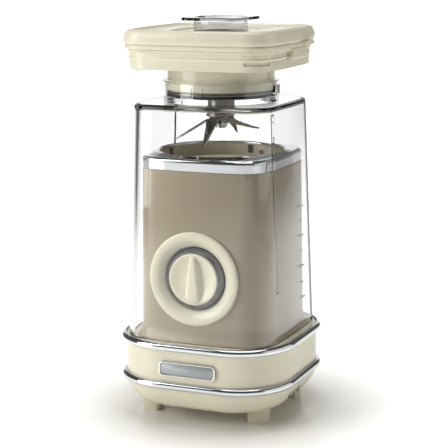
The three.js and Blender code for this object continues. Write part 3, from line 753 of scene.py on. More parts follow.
@dataclass
class MotorTower(SubAssembly):
    """The painted tower with the bright ring and the well that the jar's neck drops into."""

    half: float = 51.2
    corner: float = 20.0
    bulge: float = 1.4
    spread: float = 1.5
    wall: float = 2.5
    bore: float = 47.2
    opening: float = 33.2  # radius of the hole behind the knob surround
    knob_height: float = 112.0
    slot_turn: float = 9.5  # degrees from the back to the first lug slot
    recess_floor: float = 177.0  # height of the recess that the drive dog sits in

    @property
    def outline(self) -> SquareOutline:
        """The outline of the tower."""
        return SquareOutline(self.half, self.corner, self.bulge, 14, 22)

    def build(self) -> None:
        """Builds and dresses the tower, its ring, the well and the pedestal."""
        self.settle(self.skin(), "taupe_enamel", "base", "taupe_enamel", "motor_tower")
        self.settle(self.ring(), "chrome", "base", "chrome_trim", "top_ring")
        # The well lining wears the lighter enamel copy, painted light against the well's shade.
        self.settle(self.well(), "well_taupe_painted_light", "base", "taupe_enamel", "well_cup")
        # Dark plates on the well's wall: painted shade for the lug slots and the pin's window.
        self.settle(self.slot_shade_plates(), "painted_shade_brown", "base", "dark_plastic")
        self.settle(self.pedestal(), "cream_abs", "base", "cream_plastic", "drive_pedestal")

    def half_at(self, height: float) -> float:
        """Half the tower's width between its foot and its top."""
        low, high = 73.0, box_mm("motor_tower")[1].z
        return self.half + self.spread * (high - height) / (high - low)

    def skin(self) -> bpy.types.Object:
        """The painted cover: flared foot, straight sides, and the round hole for the knob."""
        low, high = (corner.z for corner in box_mm("motor_tower"))
        wide = self.half + self.spread
        foot = eased([(56.2, low, 0), (53.4, 67.4, 3.6), (wide, 73, 2)], 6)
        rows = [Level(self.half_at(z), z) for z in range(77, 190, 4)]
        inner = self.half_at(high) - self.wall
        inner_rows = [Level(self.half_at(z) - self.wall, z) for z in range(189, 75, -4)]
        steps = [*(Level(*spot) for spot in foot), *rows,
                 *levels([(self.half + 0.05, 190, 0), (self.half, high, 0.5), (48.9, high, 0)], steps=3),
                 Level(self.bore + 1.2, high, 1.0), Level(self.bore + 1.2, high - self.wall, 1.0),
                 Level(inner, high - self.wall), *inner_rows,
                 Level(wide - self.wall, 68), Level(wide - self.wall, low), Level(56.2, low)]
        form = Form.lofted(self.outline, steps)
        self.open_front(form)
        return form.as_object("tower_cover")

    def open_front(self, form: Form) -> None:
        """Opens the round hole in the front wall and joins its two edges.

        Args:
            form: The closed cover.
        """
        def away(spot: Vector) -> float:
            return math.hypot(spot.x, spot.z - self.knob_height)

        front = form.faces(lambda centre, normal: centre.y < -45 and away(centre) < self.opening)
        bmesh.ops.delete(form.mesh, geom=front, context="FACES")
        edges = [edge for edge in form.mesh.edges if edge.is_boundary]
        reach = self.half - self.corner
        for vert in {vert for edge in edges for vert in edge.verts}:
            outside = -vert.co.y > self.half_at(vert.co.z) - self.wall / 2
            ratio = self.opening / away(vert.co)
            x, z = vert.co.x * ratio, self.knob_height + (vert.co.z - self.knob_height) * ratio
            half = self.half_at(z) - (0 if outside else self.wall)
            bow = self.bulge * (1 - min(1.0, abs(x) / reach) ** 2)
            vert.co = (x, -half - bow * half / self.half, z)
        bmesh.ops.bridge_loops(form.mesh, edges=edges)
        form.closed()

    def ring(self) -> bpy.types.Object:
        """The polished ring: upright wall, sloped crown, and a thin round lip at the bore."""
        low, high = (corner.z for corner in box_mm("top_ring"))
        wall_top = low + 7.4
        outer = levels([(self.half - 0.3, low, 0), (self.half + 0.1, wall_top, 1.0),
                        (self.half - 1.5, wall_top + 1.8, 0)], steps=6)
        crown = [Level(50.1, high - 1.5, 0.45), Level(49.3, high - 0.5, 0.8)]
        back = self.bore + 1.2
        lip = levels([(back, high, 0.3), (self.bore, high - 0.6, 0.5), (self.bore, high - 2.2, 0.3),
                      (back, high - 2.4, 0.2), (back, low, 0)], 1.0, 3)
        steps = [*outer, *crown, *lip, Level(self.half - 0.3, low)]
        outline = SquareOutline(self.half, self.corner, self.bulge, 14, 14)
        return Form.lofted(outline, steps).as_object("well_ring")

    def well(self) -> bpy.types.Object:
        """The well's plain wall and floor, in the lighter enamel copy that paints light into the well."""
        low = box_mm("well_cup")[0].z
        floor, top = low + 2, box_mm("top_ring")[1].z - 2.3
        bore = self.bore - 0.1
        profile = eased([(30, low, 0), (bore + 2.1, low, 0.4), (bore + 2.1, 193, 0), (bore + 1, 193.6, 0),
                         (bore + 1, top, 0), (bore, top, 0), (bore, floor, 2), (30, floor, 0),
                         (30, low, 0)], 4)
        return Form.turned(profile, 120).as_object("well_lining")

    def slot_shade_plates(self) -> bpy.types.Object:
        """Painted shade for the lug slots and the pin's window: dark plates set thin on the well's wall."""
        top = box_mm("top_ring")[1].z - 2.6

        def patch(turn: float, half_width: float, low: float, high: float) -> Form:
            form = Form.plate(half_width, (high - low) / 2, 0.5, 0.4, 3).rolled(90, "X")
            return form.moved(0, self.bore - 0.15, (low + high) / 2).rolled(-turn, "Z")

        slots = [patch(self.slot_turn + quarter, 2.2, 195.2, top) for quarter in (0, 90, 180, 270)]
        window = patch(23, 2.6, 195.0, 198.2)
        return slots[0].joined(*slots[1:], window).as_object("lug_slot_painted_shade")

    def pedestal(self) -> bpy.types.Object:
        """The raised middle of the well with the recess for the drive dog."""
        low, high = box_mm("drive_pedestal")
        top, wide = high.z, high.x
        inner, ceiling = wide - self.wall, top - self.wall
        dish, sole = self.recess_floor, self.recess_floor - self.wall
        profile = eased([(6, dish, 0), (13.5, dish, 1), (13.5, top, 1), (wide, top, 2.4), (wide, low.z, 0.5),
                         (inner, low.z, 0.3), (inner, ceiling, 1), (16, ceiling, 0.5), (16, sole, 0.5),
                         (6, sole, 0), (6, dish, 0)], 5)
        return Form.turned(profile, 96).as_object("drive_platform")


@dataclass
class SpeedKnob(SubAssembly):
    """The dished surround, the bright ring and the knob with its tapered grip."""

    height: float = 112.0
    grip_back: float = 51.0  # from the tower's axis to the back of the grip
    crest_share: float = 0.43  # width of the grip's crest over the width of its foot

    def build(self) -> None:
        """Builds and dresses the control."""
        self.settle(self.surround(), "cream_abs", "base", "cream_plastic", "knob_bezel")
        # The knob's ring wears the darkened chrome, a painted dark reflection.
        self.settle(self.bright_ring(), "chrome_painted_dark", "dial", "chrome_trim", "knob_ring")
        self.settle(self.knob(), "cream_abs", "dial", "cream_plastic", "knob")
        self.dress("brass", "knob_spindle")
        self.dress("black_nylon", "rotary_switch")

    def faced(self, profile: Sequence[Point], sides: int = 96) -> Form:
        """Turns a profile of (radius, distance in front of the axis) about the knob's axis."""
        return Form.turned(profile, sides).facing_front().moved(0, 0, self.height)

    def surround(self) -> bpy.types.Object:
        """The cream surround: a broad soft lip that dips to the knob."""
        low, high = box_mm("knob_bezel")
        wide, front = high.x, -low.y
        profile = eased([(5, 46.5, 0), (24.5, 46.5, 0.3), (24.5, 50.8, 1), (27.6, 53.6, 2.2),
                         (31.6, front + 0.1, 2.6), (wide, front - 0.6, 1.6), (wide, 53.5, 0.3),
                         (33.4, 53.5, 0.2), (32.6, 50.6, 0.5), (27, 44, 1), (5, 44, 0), (5, 46.5, 0)], 7)
        return self.faced(profile, 120).as_object("knob_surround")

    def bright_ring(self) -> bpy.types.Object:
        """The bright ring between surround and knob, in chrome darkened to paint in its dark reflections."""
        profile = eased([(20.4, 46.9, 0), (23.9, 46.9, 0), (23.9, 51, 0.9), (22.9, 52.4, 0.6),
                         (21.1, 54.9, 0.5), (20.4, 54.6, 0.3), (20.4, 46.9, 0)], 6)
        return self.faced(profile, 120).as_object("knob_bright_ring")

    def knob(self) -> bpy.types.Object:
        """The knob: a shallow disc and a keel-shaped grip, broad below and narrow at its pointer."""
        low, high = box_mm("knob")
        front = -low.y
        disc = self.faced(eased([(0, 47, 0), (20, 47, 0.4), (20, 55.4, 1.2), (17.4, 55.2, 1.6),
                                 (12, 52.6, 4), (0, 52, 0)], 6))
        outline = [(-10.5, -15.6), (-6.5, -18), (6.5, -18), (10.5, -15.6), (3.8, 18.2), (-3.8, 18.2)]
        grip = Form.slab(outline, front + 0.5 - self.grip_back)
        for vert in grip.mesh.verts:
            if vert.co.z > 1:
                vert.co.x *= self.crest_share
                vert.co.y += 0.6 if vert.co.y < 0 else -0.9
        grip.softened(1.1, 20, 4).facing_front().moved(0, -self.grip_back, self.height)
        return disc.joined(grip).as_object("speed_knob", 40)


@dataclass
class Motor(SubAssembly):
    """The motor, the drive dog and the interlock, which keep their CAD shapes inside the tower."""

    def build(self) -> None:
        """Dresses the parts inside, and builds the pin that shows in the well."""
        self.dress("cast_alloy", "lower_bracket", "upper_bracket")
        self.dress("turned_steel", "lower_bearing", "upper_bearing", "motor_shaft", "tie_bolt_1",
                   "tie_bolt_2")
        self.dress("core_iron", "stator_core", "armature")
        self.dress("copper", "field_coil_upper", "field_coil_lower", "commutator")
        self.dress("black_nylon", "brush_left", "brush_right", "cooling_fan", "interlock_switch")
        self.settle(self.drive_dog(), "black_nylon", "rotor", "dark_plastic", "drive_coupling")
        self.settle(self.pin(), "black_nylon", "interlock", "dark_plastic", "interlock_pin")

    def drive_dog(self) -> bpy.types.Object:
        """The six-lobed drive dog in the pedestal's recess."""
        low, high = (corner.z for corner in box_mm("drive_coupling"))
        bore, disc_top, root = 4.3, low + 3.4, low + 3
        skirt = Form.turned(eased([(bore, low, 0), (10, low, 0.4), (10, disc_top, 0.8), (bore, disc_top, 0),
                                   (bore, low, 0)]), 48)
        core = Form.turned(eased([(bore, root, 0), (5.6, root, 0), (5.6, high, 0.6), (bore, high, 0),
                                  (bore, root, 0)]), 48)
        lobe = eased([(0, root, 0), (2.1, root, 0), (2.1, high, 0.6), (0, high, 0)], 3)
        lobes = [Form.turned(lobe, 20).moved(5.3).rolled(turn, "Z") for turn in range(0, 360, 60)]
        return skirt.joined(core, *lobes).as_object("drive_dog")

    def pin(self) -> bpy.types.Object:
        """The round-nosed interlock pin."""
        low, high = box_mm("interlock_pin")
        centre, radius = (low + high) / 2, (high.x - low.x) / 2
        profile = eased([(0, low.z, 0), (radius, low.z, 0.3), (radius, high.z, 1.4), (0, high.z, 0)], 4)
        return Form.turned(profile, 24).moved(centre.x, centre.y).as_object("lock_pin")


@dataclass
class Jar(SubAssembly):
    """The clear square jar, mouth-down, with its neck, lugs, ribs, mouth grips and marks."""

    half: float = 60.7
    corner: float = 23.0
    bulge: float = 1.2
    shoulder: float = 242.3
    wall: float = 2.7
    neck: float = 44.6
    seat: float = 42.6
    seat_height: float = 246.1
    throat: float = 37.5
    taper: float = 5.5  # how much half the width loses from mouth to shoulder
    top_wall: float = 3.0
    lug_half: float = 4.5
    lug_low: float = 248.2
    lug_high: float = 255.0
    marks: tuple[float, ...] = (88.0, 113.0, 137.0, 160.0)
    half_step: float = 12.0  # from a long mark up to the short one after it
    rib_low: float = 101.0
    rib_from: float = 29.6
    rib_to: float = 33.6

    def build(self) -> None:
        """Builds and dresses the jar and its raised marks."""
        self.settle(self.body(), "clear_san", "jar_body", "clear_jar", "jar")
        self.settle(self.graduations(), "grey_print", "jar_body", "clear_jar")

    def half_at(self, height: float) -> float:
        """Half the jar's outside width at a height."""
        low = box_mm("jar")[0].z
        return self.half - (height - low) / (self.shoulder - low) * self.taper

    def body(self) -> bpy.types.Object:
        """The jar as one shell, from its mouth over the shoulder to the neck and back inside."""
        low, high = (corner.z for corner in box_mm("jar"))
        top = self.shoulder
        under = top - self.top_wall
        outside = levels([(self.half, low, 0.9), (self.half_at(top), top, 2.4), (self.neck + 4, top, 0)],
                         steps=6)
        neck = levels([(self.neck, top, 0), (self.neck, high, 0.6), (self.seat, high, 0.5),
                       (self.seat, self.seat_height, 0), (self.throat, self.seat_height, 0.5),
                       (self.throat, under, 1.2)], 1.0, 4)
        inside = levels([(self.throat + 6, under, 0), (self.half_at(under) - self.wall, under, 2.0),
                         (self.half - self.wall, low, 0.5), (self.half, low, 0)], steps=6)
        steps = [*outside, *neck, *inside[:-1], outside[0]]
        form = Form.lofted(SquareOutline(self.half, self.corner, self.bulge, 14, 14), steps)
        self.raise_lugs(form)
        self.raise_grips(form)
        self.raise_ribs(form)
        return form.as_object("jar_shell", 32)

    def raise_ribs(self, form: Form) -> None:
        """Raises the two long ribs that stir the food, inside the right and left walls."""
        low, high = self.rib_low, self.shoulder - 6
        walls = lambda centre: low - 30 < centre.z < high + 4 and max(abs(centre.x), abs(centre.y)) > 48
        form.scored((low, high), 2, walls)
        near, far = self.rib_from, self.rib_to
        form.scored((-far, -near, near, far), 1, walls)

        def on_rib(centre: Vector, normal: Vector) -> bool:
            if not (low < centre.z < high and normal.xy.dot(centre.xy) < 0):
                return False
            x, y = centre.xy
            return abs(x) > abs(y) and -far < y * math.copysign(1, x) < -near
        form.sunk(form.faces(on_rib), -0.9, 1.1)

    def raise_lugs(self, form: Form) -> None:
        """Raises the four bayonet lugs from the neck."""
        on_neck = lambda centre: centre.z > self.shoulder + 0.5
        low, high = self.lug_low, self.lug_high
        form.scored((low, high), 2, on_neck)
        for axis in (0, 1):
            form.scored((-self.lug_half, self.lug_half), axis, on_neck)
        lugs = form.faces(lambda centre, normal: low < centre.z < high
                          and abs(centre.xy.length - self.neck) < 0.4
                          and min(abs(centre.x), abs(centre.y)) < self.lug_half)
        grown = bmesh.ops.extrude_face_region(form.mesh, geom=lugs)["geom"]
        for vert in (part for part in grown if isinstance(part, bmesh.types.BMVert)):
            vert.co.xy *= (self.neck + 2) / self.neck
        bmesh.ops.delete(form.mesh, geom=lugs, context="FACES")
        bmesh.ops.remove_doubles(form.mesh, verts=form.mesh.verts, dist=WELD)

    def raise_grips(self, form: Form) -> None:
        """Raises two short level grips near the mouth, one at each front corner."""
        low, high, near, far = 78, 80, 21, 39
        front = lambda centre: centre.y < -50 and centre.z < 120
        form.scored((low, high, 88, 89.4), 2, front)
        form.scored((-far, -near, near, far), 0, front)
        bars = form.faces(lambda centre, normal: centre.y < -50 and normal.y < -0.2
                          and near < abs(centre.x) < far and low < centre.z < high)
        form.sunk(bars, -0.9, 0.05)

    def graduations(self) -> bpy.types.Object:
        """Raised marks on the right side: long ones a quarter litre apart, short ones between."""
        def bar(height: float, reach: float) -> Form:
            across = self.half_at(height) + self.bulge * 0.75
            form = Form.plate(reach, 0.45, 0.4, 0.5, 3).rolled(90, "X").rolled(90, "Z")
            return form.moved(across - 0.15, 17, height)

        bars = [bar(height, 5.5) for height in self.marks]
        small = [bar(height + self.half_step, 2.5) for height in self.marks]
        return bars[0].joined(*bars[1:], *small).as_object("jar_marks")


@dataclass
class BladeUnit(SubAssembly):
    """The blade unit: grip collar, steel carrier with its column, and the four-armed blades."""

    shaft_bore: float = 4.3
    column: float = 10.3
    panel_low: float = 259.0
    panel_high: float = 274.4

    def build(self) -> None:
        """Builds and dresses the collar, the carrier and what spins in it."""
        self.settle(self.collar(), "cream_abs", "collar", "cream_plastic", "blade_collar")
        self.settle(self.carrier(), "drawn_steel", "blade_unit", "blade_steel", "blade_carrier")
        self.settle(self.seal(), "black_rubber", "blade_unit", "rubber", "collar_seal")
        self.settle(self.boss(), "drawn_steel", "blades", "blade_steel", "blade_boss")
        upper = self.strip("upper_blades", 229.4, 9, [
            {"heading": -98, "length": 31.5, "droop": 41, "twist": 12},
            {"heading": 82, "length": 31, "droop": 35, "twist": 12}])
        self.settle(upper, "blade_steel", "blades", "blade_steel", "blade_strip_upper")
        lower = self.strip("lower_blades", 227.7, 7.2, [
            {"heading": 187, "length": 34, "droop": 31, "twist": 4},
            {"heading": 0, "length": 27, "droop": 13, "twist": -32}])
        self.settle(lower, "blade_steel", "blades", "blade_steel", "blade_strip_lower")
        cap_nut = self.nut("blade_cap_nut", "blade_nut", self.shaft_bore)
        self.settle(cap_nut, "turned_steel", "blades", "blade_steel", "blade_nut")
        carrier_nut = self.nut("carrier_nut", "column_nut", self.column)
        self.settle(carrier_nut, "turned_steel", "blade_unit", "steel", "column_nut")
        self.dress("brass", "blade_bush")
        self.dress("turned_steel", "blade_shaft")
        self.dress("black_nylon", "driven_coupling")

    def collar(self) -> bpy.types.Object:
        """The grip collar: a cup with a stepped lower ring and sunk grip panels."""
        low, high = box_mm("blade_collar")
        wide = (high.x - low.x) / 2
        profile = eased([(30, low.z, 0.2), (40.6, low.z, 0.3), (wide, low.z + 1.6, 0.5), (wide, 256.4, 0.4),
                         (wide - 0.7, 257, 0.4), (wide - 0.7, high.z, 0.8), (39.2, high.z, 0.6),
                         (39.2, low.z + 1.4, 0.5), (30, low.z + 1.4, 0.2), (30, low.z, 0)], 4)
        form = Form.turned(profile, 120)
        form.scored((self.panel_low, self.panel_high), 2)

        def in_panel(centre: Vector, normal: Vector) -> bool:
            turn = math.degrees(math.atan2(centre.x, -centre.y)) % 360
            wide = any(abs(turn - spot) < 6 for spot in (45, 135, 225, 315))
            narrow = any(abs(turn - spot) < 5 for spot in (80, 260))
            tall = self.panel_low < centre.z < self.panel_high
            return (wide or narrow) and tall and normal.xy.dot(centre.xy) > 20
        form.sunk(form.faces(in_panel), 0.8, 0.15)
        return form.as_object("grip_collar")

    def carrier(self) -> bpy.types.Object:
        """The steel disc and its bearing column."""
        low, high = (corner.z for corner in box_mm("blade_carrier"))
        wide, under, upper = 41.8, 248.1, 250
        profile = eased([(7.6, low, 0.4), (self.column, low, 0.6), (self.column, under, 1.4),
                         (wide, under, 0.5), (wide, upper, 0.5), (9.7, upper, 0.4), (9.7, high, 0.5),
                         (7.6, high, 0.3), (7.6, low, 0)], 4)
        return Form.turned(profile, 96).as_object("carrier_disc")

    def seal(self) -> bpy.types.Object:
        """The round seal ring below the carrier."""
        low, high = (corner.z for corner in box_mm("collar_seal"))
        near, far = 37.9, 41.8
        profile = eased([(near, low, 0.5), (far, low, 0.5), (far, high, 0.5), (near, high, 0.5),
                         (near, low, 0)], 4)
        return Form.turned(profile, 96).as_object("seal_ring")

    def boss(self) -> bpy.types.Object:
        """The turned boss between column and blades."""
        low, high = box_mm("blade_boss")
        wide = (high.x - low.x) / 2
        bore = self.shaft_bore
        profile = eased([(bore, low.z, 0.2), (wide, low.z, 0.5), (wide, 234.2, 0.5),
                         (wide - 1.2, high.z, 0.5), (bore, high.z, 0.2), (bore, low.z, 0)], 4)
        return Form.turned(profile, 64).as_object("blade_boss_turned")

    def nut(self, name: str, node_name: str, bore: float) -> bpy.types.Object:
        """A six-sided nut in the place of its node."""
        low, high = box_mm(node_name)
        radius = (high.x - low.x) / 2
        profile = [(bore, low.z), (radius, low.z), (radius, high.z), (bore, high.z), (bore, low.z)]
        form = Form.turned(profile, 6)
        return form.softened(0.35, 40, 2).as_object(name, 25)

    def strip(self, name: str, top: float, hub: float, arms: list[dict[str, float]]) -> bpy.types.Object:
        """One blade strip: a disc clamped on the shaft and its two bent arms.

        Args:
            name: Name of the piece.
            top: Height of the disc's upper face.
            hub: Radius of the disc.
            arms: Heading, length, droop and twist of each arm.

        Returns:
            The strip.
        """
        thick, bore = 1.4, self.shaft_bore
        under = top - thick
        disc = Form.turned(eased([(bore, under, 0), (hub, under, 0.2), (hub, top, 0.2), (bore, top, 0),
                                  (bore, under, 0)], 2), 48)
        for arm in arms:
            bent = self.arm(arm["length"], arm["droop"], arm["twist"], thick)
            disc.joined(bent.moved(hub - 0.6, 0, under).rolled(arm["heading"], "Z"))
        return disc.as_object(name, 20)

    def arm(self, length: float, droop: float, twist: float, thick: float) -> Form:
        """One arm along +X: toothed cutting edge, ground bevel, rounded bend at its root."""
        root, tip, teeth = 5.2, 1.6, 6
        toothed = length - 12
        edge: list[Point] = []
        for tooth in range(teeth):
            along = 8 + toothed * tooth / teeth
            across = root + (tip - root) * tooth / teeth
            edge += [(along, -across), (along + toothed / teeth - 0.6, -across + 0.9)]
        outline = [(-2.4, -root), (4, -root), *edge, (length, 0.4), (length - 6, tip + 1), (4, root),
                   (-2.4, root)]
        form = Form.slab(outline, thick)
        bends = (0.6, 1.4, 2.2, 3.0, 3.8)
        form.scored(bends, 0)
        for vert in form.mesh.verts:
            if vert.co.z > 0.5 and vert.co.x > 5 and vert.co.y < -0.6:
                vert.co.z -= 1.0
        for bend in reversed(bends):
            beyond = [vert for vert in form.mesh.verts if vert.co.x > bend - 0.01]
            bmesh.ops.rotate(form.mesh, cent=(bend, 0, 0), verts=beyond,
                             matrix=Matrix.Rotation(math.radians(droop / len(bends)), 3, "Y"))
        return form.rolled(twist, "X")


@dataclass
class Lid(SubAssembly):
    """The cream lid with its skirt, rim, finger tab, latches and the seal ring under its rim."""

    half: float = 60.8
    corner: float = 21.0
    bulge: float = 1.2
    skirt: float = 57.2
    flange: float = 283.3  # height of the rim's underside

    @property
    def outline(self) -> SquareOutline:
        """The outline of the lid."""
        return SquareOutline(self.half, self.corner, self.bulge, 14, 16)

    def build(self) -> None:
        """Builds and dresses the lid and its seal."""
        self.settle(self.body(), "cream_abs", "lid_body", "cream_plastic", "lid")
        self.settle(self.gasket(), "cream_rubber", "lid_body", "cream_foot", "lid_gasket")

    def body(self) -> bpy.types.Object:
        """The lid as one shell with its sunk panels, plus latches and tab."""
        low, high = box_mm("lid")
        foot, crown = low.z, high.z
        skirt, dish, ceiling = self.skirt, 294.8, 293.2
        outside = levels([(skirt - 0.5, foot, 0.5), (skirt - 0.2, 276, 0.2), (skirt + 0.3, 276.6, 0.2),
                          (skirt + 0.3, 277.4, 0.2), (skirt, 278, 0.2), (skirt, self.flange, 0.3),
                          (59.9, self.flange, 0.6), (60.1, 286.3, 0.5), (59.2, 286.5, 0.15),
                          (59.2, 287.1, 0.15), (60.2, 287.3, 0.9), (60.8, 290, 2), (60.3, 294, 3),
                          (58.0, crown, 2.4), (55.6, crown, 0.7), (53.6, 296, 0.8), (31.4, 296, 0.4),
                          (31, dish, 0.5), (24, dish, 0)], steps=5)
        hole = levels([(21.4, dish, 0.5), (21.4, 276.4, 0.4), (23.2, 276.4, 0.4), (23.2, ceiling, 1)],
                      1.0, 4)
        inside = levels([(28, ceiling, 0), (54.4, ceiling, 2), (54.4, foot, 0.5), (skirt - 0.5, foot, 0)],
                        steps=4)
        form = Form.lofted(self.outline, [*outside, *hole, *inside[:-1], outside[0]])
        self.press_panels(form)
        for side in (-1, 1):
            latch = Form.plate(16, 4.2, 2.2, 3.6, 8).softened(0.9, 40, 4)
            latch.rolled(90, "X").rolled(90 * side, "Z").moved(side * 57.6, 11.5, 279.1)
            form.joined(latch)
        tab = Form.plate(3.2, 8, 2.4, 2.4).softened(0.5, 40, 3).moved(62.4, 22, 284.4)
        under = Form.plate(3, 7, 1, 3).softened(0.3, 40, 2).moved(-54.6, -27, foot - 2.8)
        return form.joined(tab, under).as_object("lid_shell", 30)

    def press_panels(self, form: Form) -> None:
        """Sinks the pouring panel at the front right corner and a pocket in front of each latch."""
        low, high = 272.8, 275.4
        corner = lambda centre: centre.x > 20 and centre.y < -20 and centre.z < 283
        form.scored((low, high), 2, corner)
        outward = Vector((1, -1)).normalized()
        panel = form.faces(lambda centre, normal: corner(centre) and normal.xy.dot(outward) > 0.5
                           and low < centre.z < high + 0.6 and abs(centre.x + centre.y) < 14)
        form.sunk(panel, 1.1, 0.2)
        low, high, front, back = 275.4, 282.8, -13.0, -5.0
        side = lambda centre: abs(centre.x) > 50 and -30 < centre.y < 30 and 270 < centre.z < 283
        form.scored((low, high), 2, side)
        form.scored((front, back), 1, side)
        pockets = form.faces(lambda centre, normal: side(centre) and normal.x * centre.x > 50
                             and low < centre.z < high and front < centre.y < back)
        form.sunk(pockets, 2.2, 0.4)

    def gasket(self) -> bpy.types.Object:
        """The soft seal ring under the rim."""
        low, high = (corner.z for corner in box_mm("lid_gasket"))
        high = min(high, self.flange - 0.2)
        inner = self.skirt + 0.2
        steps = levels([(inner, low, 0), (58, low, 0.4), (58.4, high, 0.3), (inner, high, 0),
                        (inner, low, 0)], steps=4)
        return Form.lofted(self.outline, steps).as_object("lid_seal_ring")


@dataclass
class MeasuringCap(SubAssembly):
    """The smoky clear measuring cup with its rounded-square flange."""

    def build(self) -> None:
        """Builds and dresses the cap."""
        self.settle(self.cup(), "smoky_san", "cap", "clear_cap", "measuring_cap")

    def cup(self) -> bpy.types.Object:
        """The cup and its flange, as one moulding."""
        low, high = box_mm("measuring_cap")
        flange = high.x
        radius, wall = 20.8, 1.2
        under, floor = high.z - 2.2, low.z + 2
        cup = levels([(0.4, low.z, 0), (radius, low.z, 2), (radius, under, 0.5)], 1.0, 4)
        plate = levels([(flange, under, 0.4), (flange, high.z, 0.8), (radius + 1.6, high.z, 0)], steps=4)
        inner = levels([(radius - wall, high.z, 0.6), (radius - wall, floor, 2), (0.4, floor, 0)], 1.0, 4)
        form = Form.lofted(SquareOutline(flange, 8, 0, 12, 8), [*cup, *plate, *inner])
        return form.as_object("measuring_cup")


# ---- studio --------------------------------------------------------------------------------


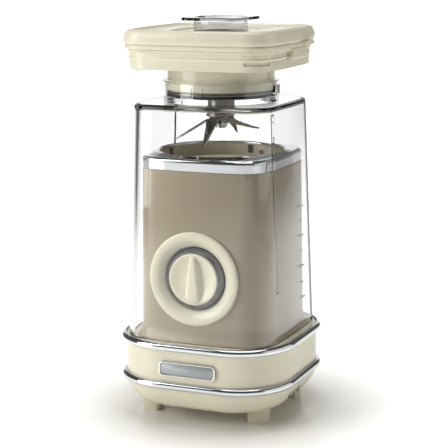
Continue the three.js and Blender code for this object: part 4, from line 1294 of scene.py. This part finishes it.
@dataclass
class Studio:
    """A plain pale sweep that glows as painted light, soft lights and the camera."""

    reach: float = 2.4  # metres from the middle to each side of the sweep
    glow: float = 0.6  # metres from the middle to each side of its lit part
    bearing: float = 23.236  # degrees, camera to the right of the knob side
    distance: float = 1.10266
    height: float = 0.35934
    pitch: float = 11.018
    yaw: float = -0.08
    roll: float = -0.334
    lens: float = 115.494

    def build(self) -> None:
        """Sets up everything that isn't the object."""
        self.sweep()
        self.lights()
        self.camera()

    def sweep(self) -> None:
        """One sheet that is floor in front and backdrop behind, with a wide bend between."""
        mesh = bmesh.new()
        profile = eased([(-2.2, 0, 0), (1.9, 0, 1.2), (1.9, 3.2, 0)], 24)
        spots = [mesh.verts.new((-self.reach, along, up)) for along, up in profile]
        edges = [mesh.edges.new(pair) for pair in zip(spots, spots[1:])]
        grown = bmesh.ops.extrude_edge_only(mesh, edges=edges)["geom"]
        bmesh.ops.translate(mesh, vec=(2 * self.reach, 0, 0),
                            verts=[part for part in grown if isinstance(part, bmesh.types.BMVert)])
        data = bpy.data.meshes.new("studio_sweep")
        mesh.to_mesh(data)
        mesh.free()
        data.polygons.foreach_set("use_smooth", [True] * len(data.polygons))
        sheet = bpy.data.objects.new("studio_sweep", data)
        sheet.rotation_euler.z = math.radians(self.bearing)
        bpy.context.scene.collection.objects.link(sheet)
        data.materials.append(self.sweep_paint())

    def sweep_paint(self) -> bpy.types.Material:
        """Pale glossy paint whose glow is painted light: it glows in the middle of the backdrop and less so
        on the floor, not at all under and close round the object, and it turns a darker grey at the sides
        and top, painted shade.
        """
        material, tree, out = blank("pale_painted_sweep")
        place = node(tree, "ShaderNodeTexCoord").outputs["Object"]
        split = node(tree, "ShaderNodeSeparateXYZ", {0: place})
        behind = node(tree, "ShaderNodeMapRange", {
            "Value": split.outputs["Y"], "From Min": 0.12, "From Max": 1.1,
            "To Min": 0.0, "To Max": 0.85}).outputs["Result"]
        aside = node(tree, "ShaderNodeMath", {0: split.outputs["X"]}, operation="ABSOLUTE").outputs[0]
        middle = node(tree, "ShaderNodeMapRange", {
            "Value": aside, "From Min": self.glow, "From Max": self.glow * 1.6,
            "To Min": 1.0, "To Max": 0.0}).outputs["Result"]
        away = node(tree, "ShaderNodeVectorMath", {0: place}, operation="LENGTH").outputs["Value"]
        # Painted light on the floor: no glow under and close round the object, full glow further out.
        floor = node(tree, "ShaderNodeMapRange", {
            "Value": away, "From Min": 0.08, "From Max": 0.15,
            "To Min": 0.0, "To Max": 0.55}).outputs["Result"]
        low = node(tree, "ShaderNodeMapRange", {
            "Value": split.outputs["Z"], "From Min": self.glow * 0.7, "From Max": self.glow * 1.4,
            "To Min": 1.0, "To Max": 0.0}).outputs["Result"]
        near = node(tree, "ShaderNodeMath", {0: middle, 1: low}, operation="MULTIPLY").outputs[0]
        most = node(tree, "ShaderNodeMath", {0: behind, 1: floor}, operation="MAXIMUM").outputs[0]
        lit = node(tree, "ShaderNodeMath", {0: most, 1: near}, operation="MULTIPLY").outputs[0]
        # Painted shade: the sheet's colour is darker grey outside its glowing middle.
        paint = node(tree, "ShaderNodeBsdfPrincipled", {
            "Base Color": blend_colours(tree, near, "B4B2AE", "F1EFEA"), "Roughness": 0.12, "IOR": 1.5,
            "Emission Color": linear("FFFFFF"), "Emission Strength": lit})
        tree.links.new(paint.outputs[0], out.inputs[0])
        return material

    def lamp(self, name: str, turn: float, away: float, up: float, size: Point, power: float) -> None:
        """Adds a rectangular soft light that faces the object.

        Args:
            name: Name of the light.
            turn: Degrees round from the camera, to the right.
            away: Metres from the object's axis.
            up: Height in metres.
            size: Width and height in metres.
            power: Watts.
        """
        data = bpy.data.lights.new(name, "AREA")
        data.shape, (data.size, data.size_y), data.energy = "RECTANGLE", size, power
        lamp = bpy.data.objects.new(name, data)
        angle = math.radians(self.bearing + turn)
        lamp.location = (away * math.sin(angle), -away * math.cos(angle), up)
        aim = Vector((0, 0, 0.16)) - lamp.location
        lamp.rotation_euler = aim.to_track_quat("-Z", "Y").to_euler()
        bpy.context.scene.collection.objects.link(lamp)

    def lights(self) -> None:
        """A tall soft light on each side, a broad one above, and a dim room."""
        self.lamp("left_softbox", -72, 0.95, 0.5, (0.58, 1.0), 7)
        self.lamp("right_softbox", 82, 1.2, 0.5, (1.8, 1.0), 4)
        self.lamp("top_softbox", 180, 0.1, 1.6, (1.2, 1.2), 14)
        world = bpy.data.worlds.new("studio_room")
        world.use_nodes = True
        room = world.node_tree.nodes["Background"]
        room.inputs["Color"].default_value = linear("D8D8D6")
        room.inputs["Strength"].default_value = 0.12
        bpy.context.scene.world = world
        bpy.context.scene.view_settings.view_transform = "Standard"

    def camera(self) -> None:
        """Places the camera at the solved viewing angle."""
        data = bpy.data.cameras.new("camera")
        data.lens = self.lens
        camera = bpy.data.objects.new("camera", data)
        around = math.radians(self.bearing)
        spot = Vector((self.distance * math.sin(around), -self.distance * math.cos(around), self.height))
        heading = math.radians(self.bearing + self.yaw)
        turn = (Matrix.Rotation(heading, 4, "Z") @ Matrix.Rotation(math.radians(90 - self.pitch), 4, "X")
                @ Matrix.Rotation(math.radians(self.roll), 4, "Z"))
        camera.matrix_world = Matrix.Translation(spot) @ turn
        bpy.context.scene.collection.objects.link(camera)
        bpy.context.scene.camera = camera


# ---- assembly ------------------------------------------------------------------------------


def main() -> None:
    """Builds the studio and every sub-assembly."""
    logging.basicConfig(level=logging.INFO, format="%(name)s %(message)s")
    Studio().build()
    finishes = Finishes()
    for assembly in (BaseStand, MotorTower, SpeedKnob, Motor, Jar, BladeUnit, Lid, MeasuringCap):
        assembly(finishes).build()


if __name__ == "__main__":
    main()
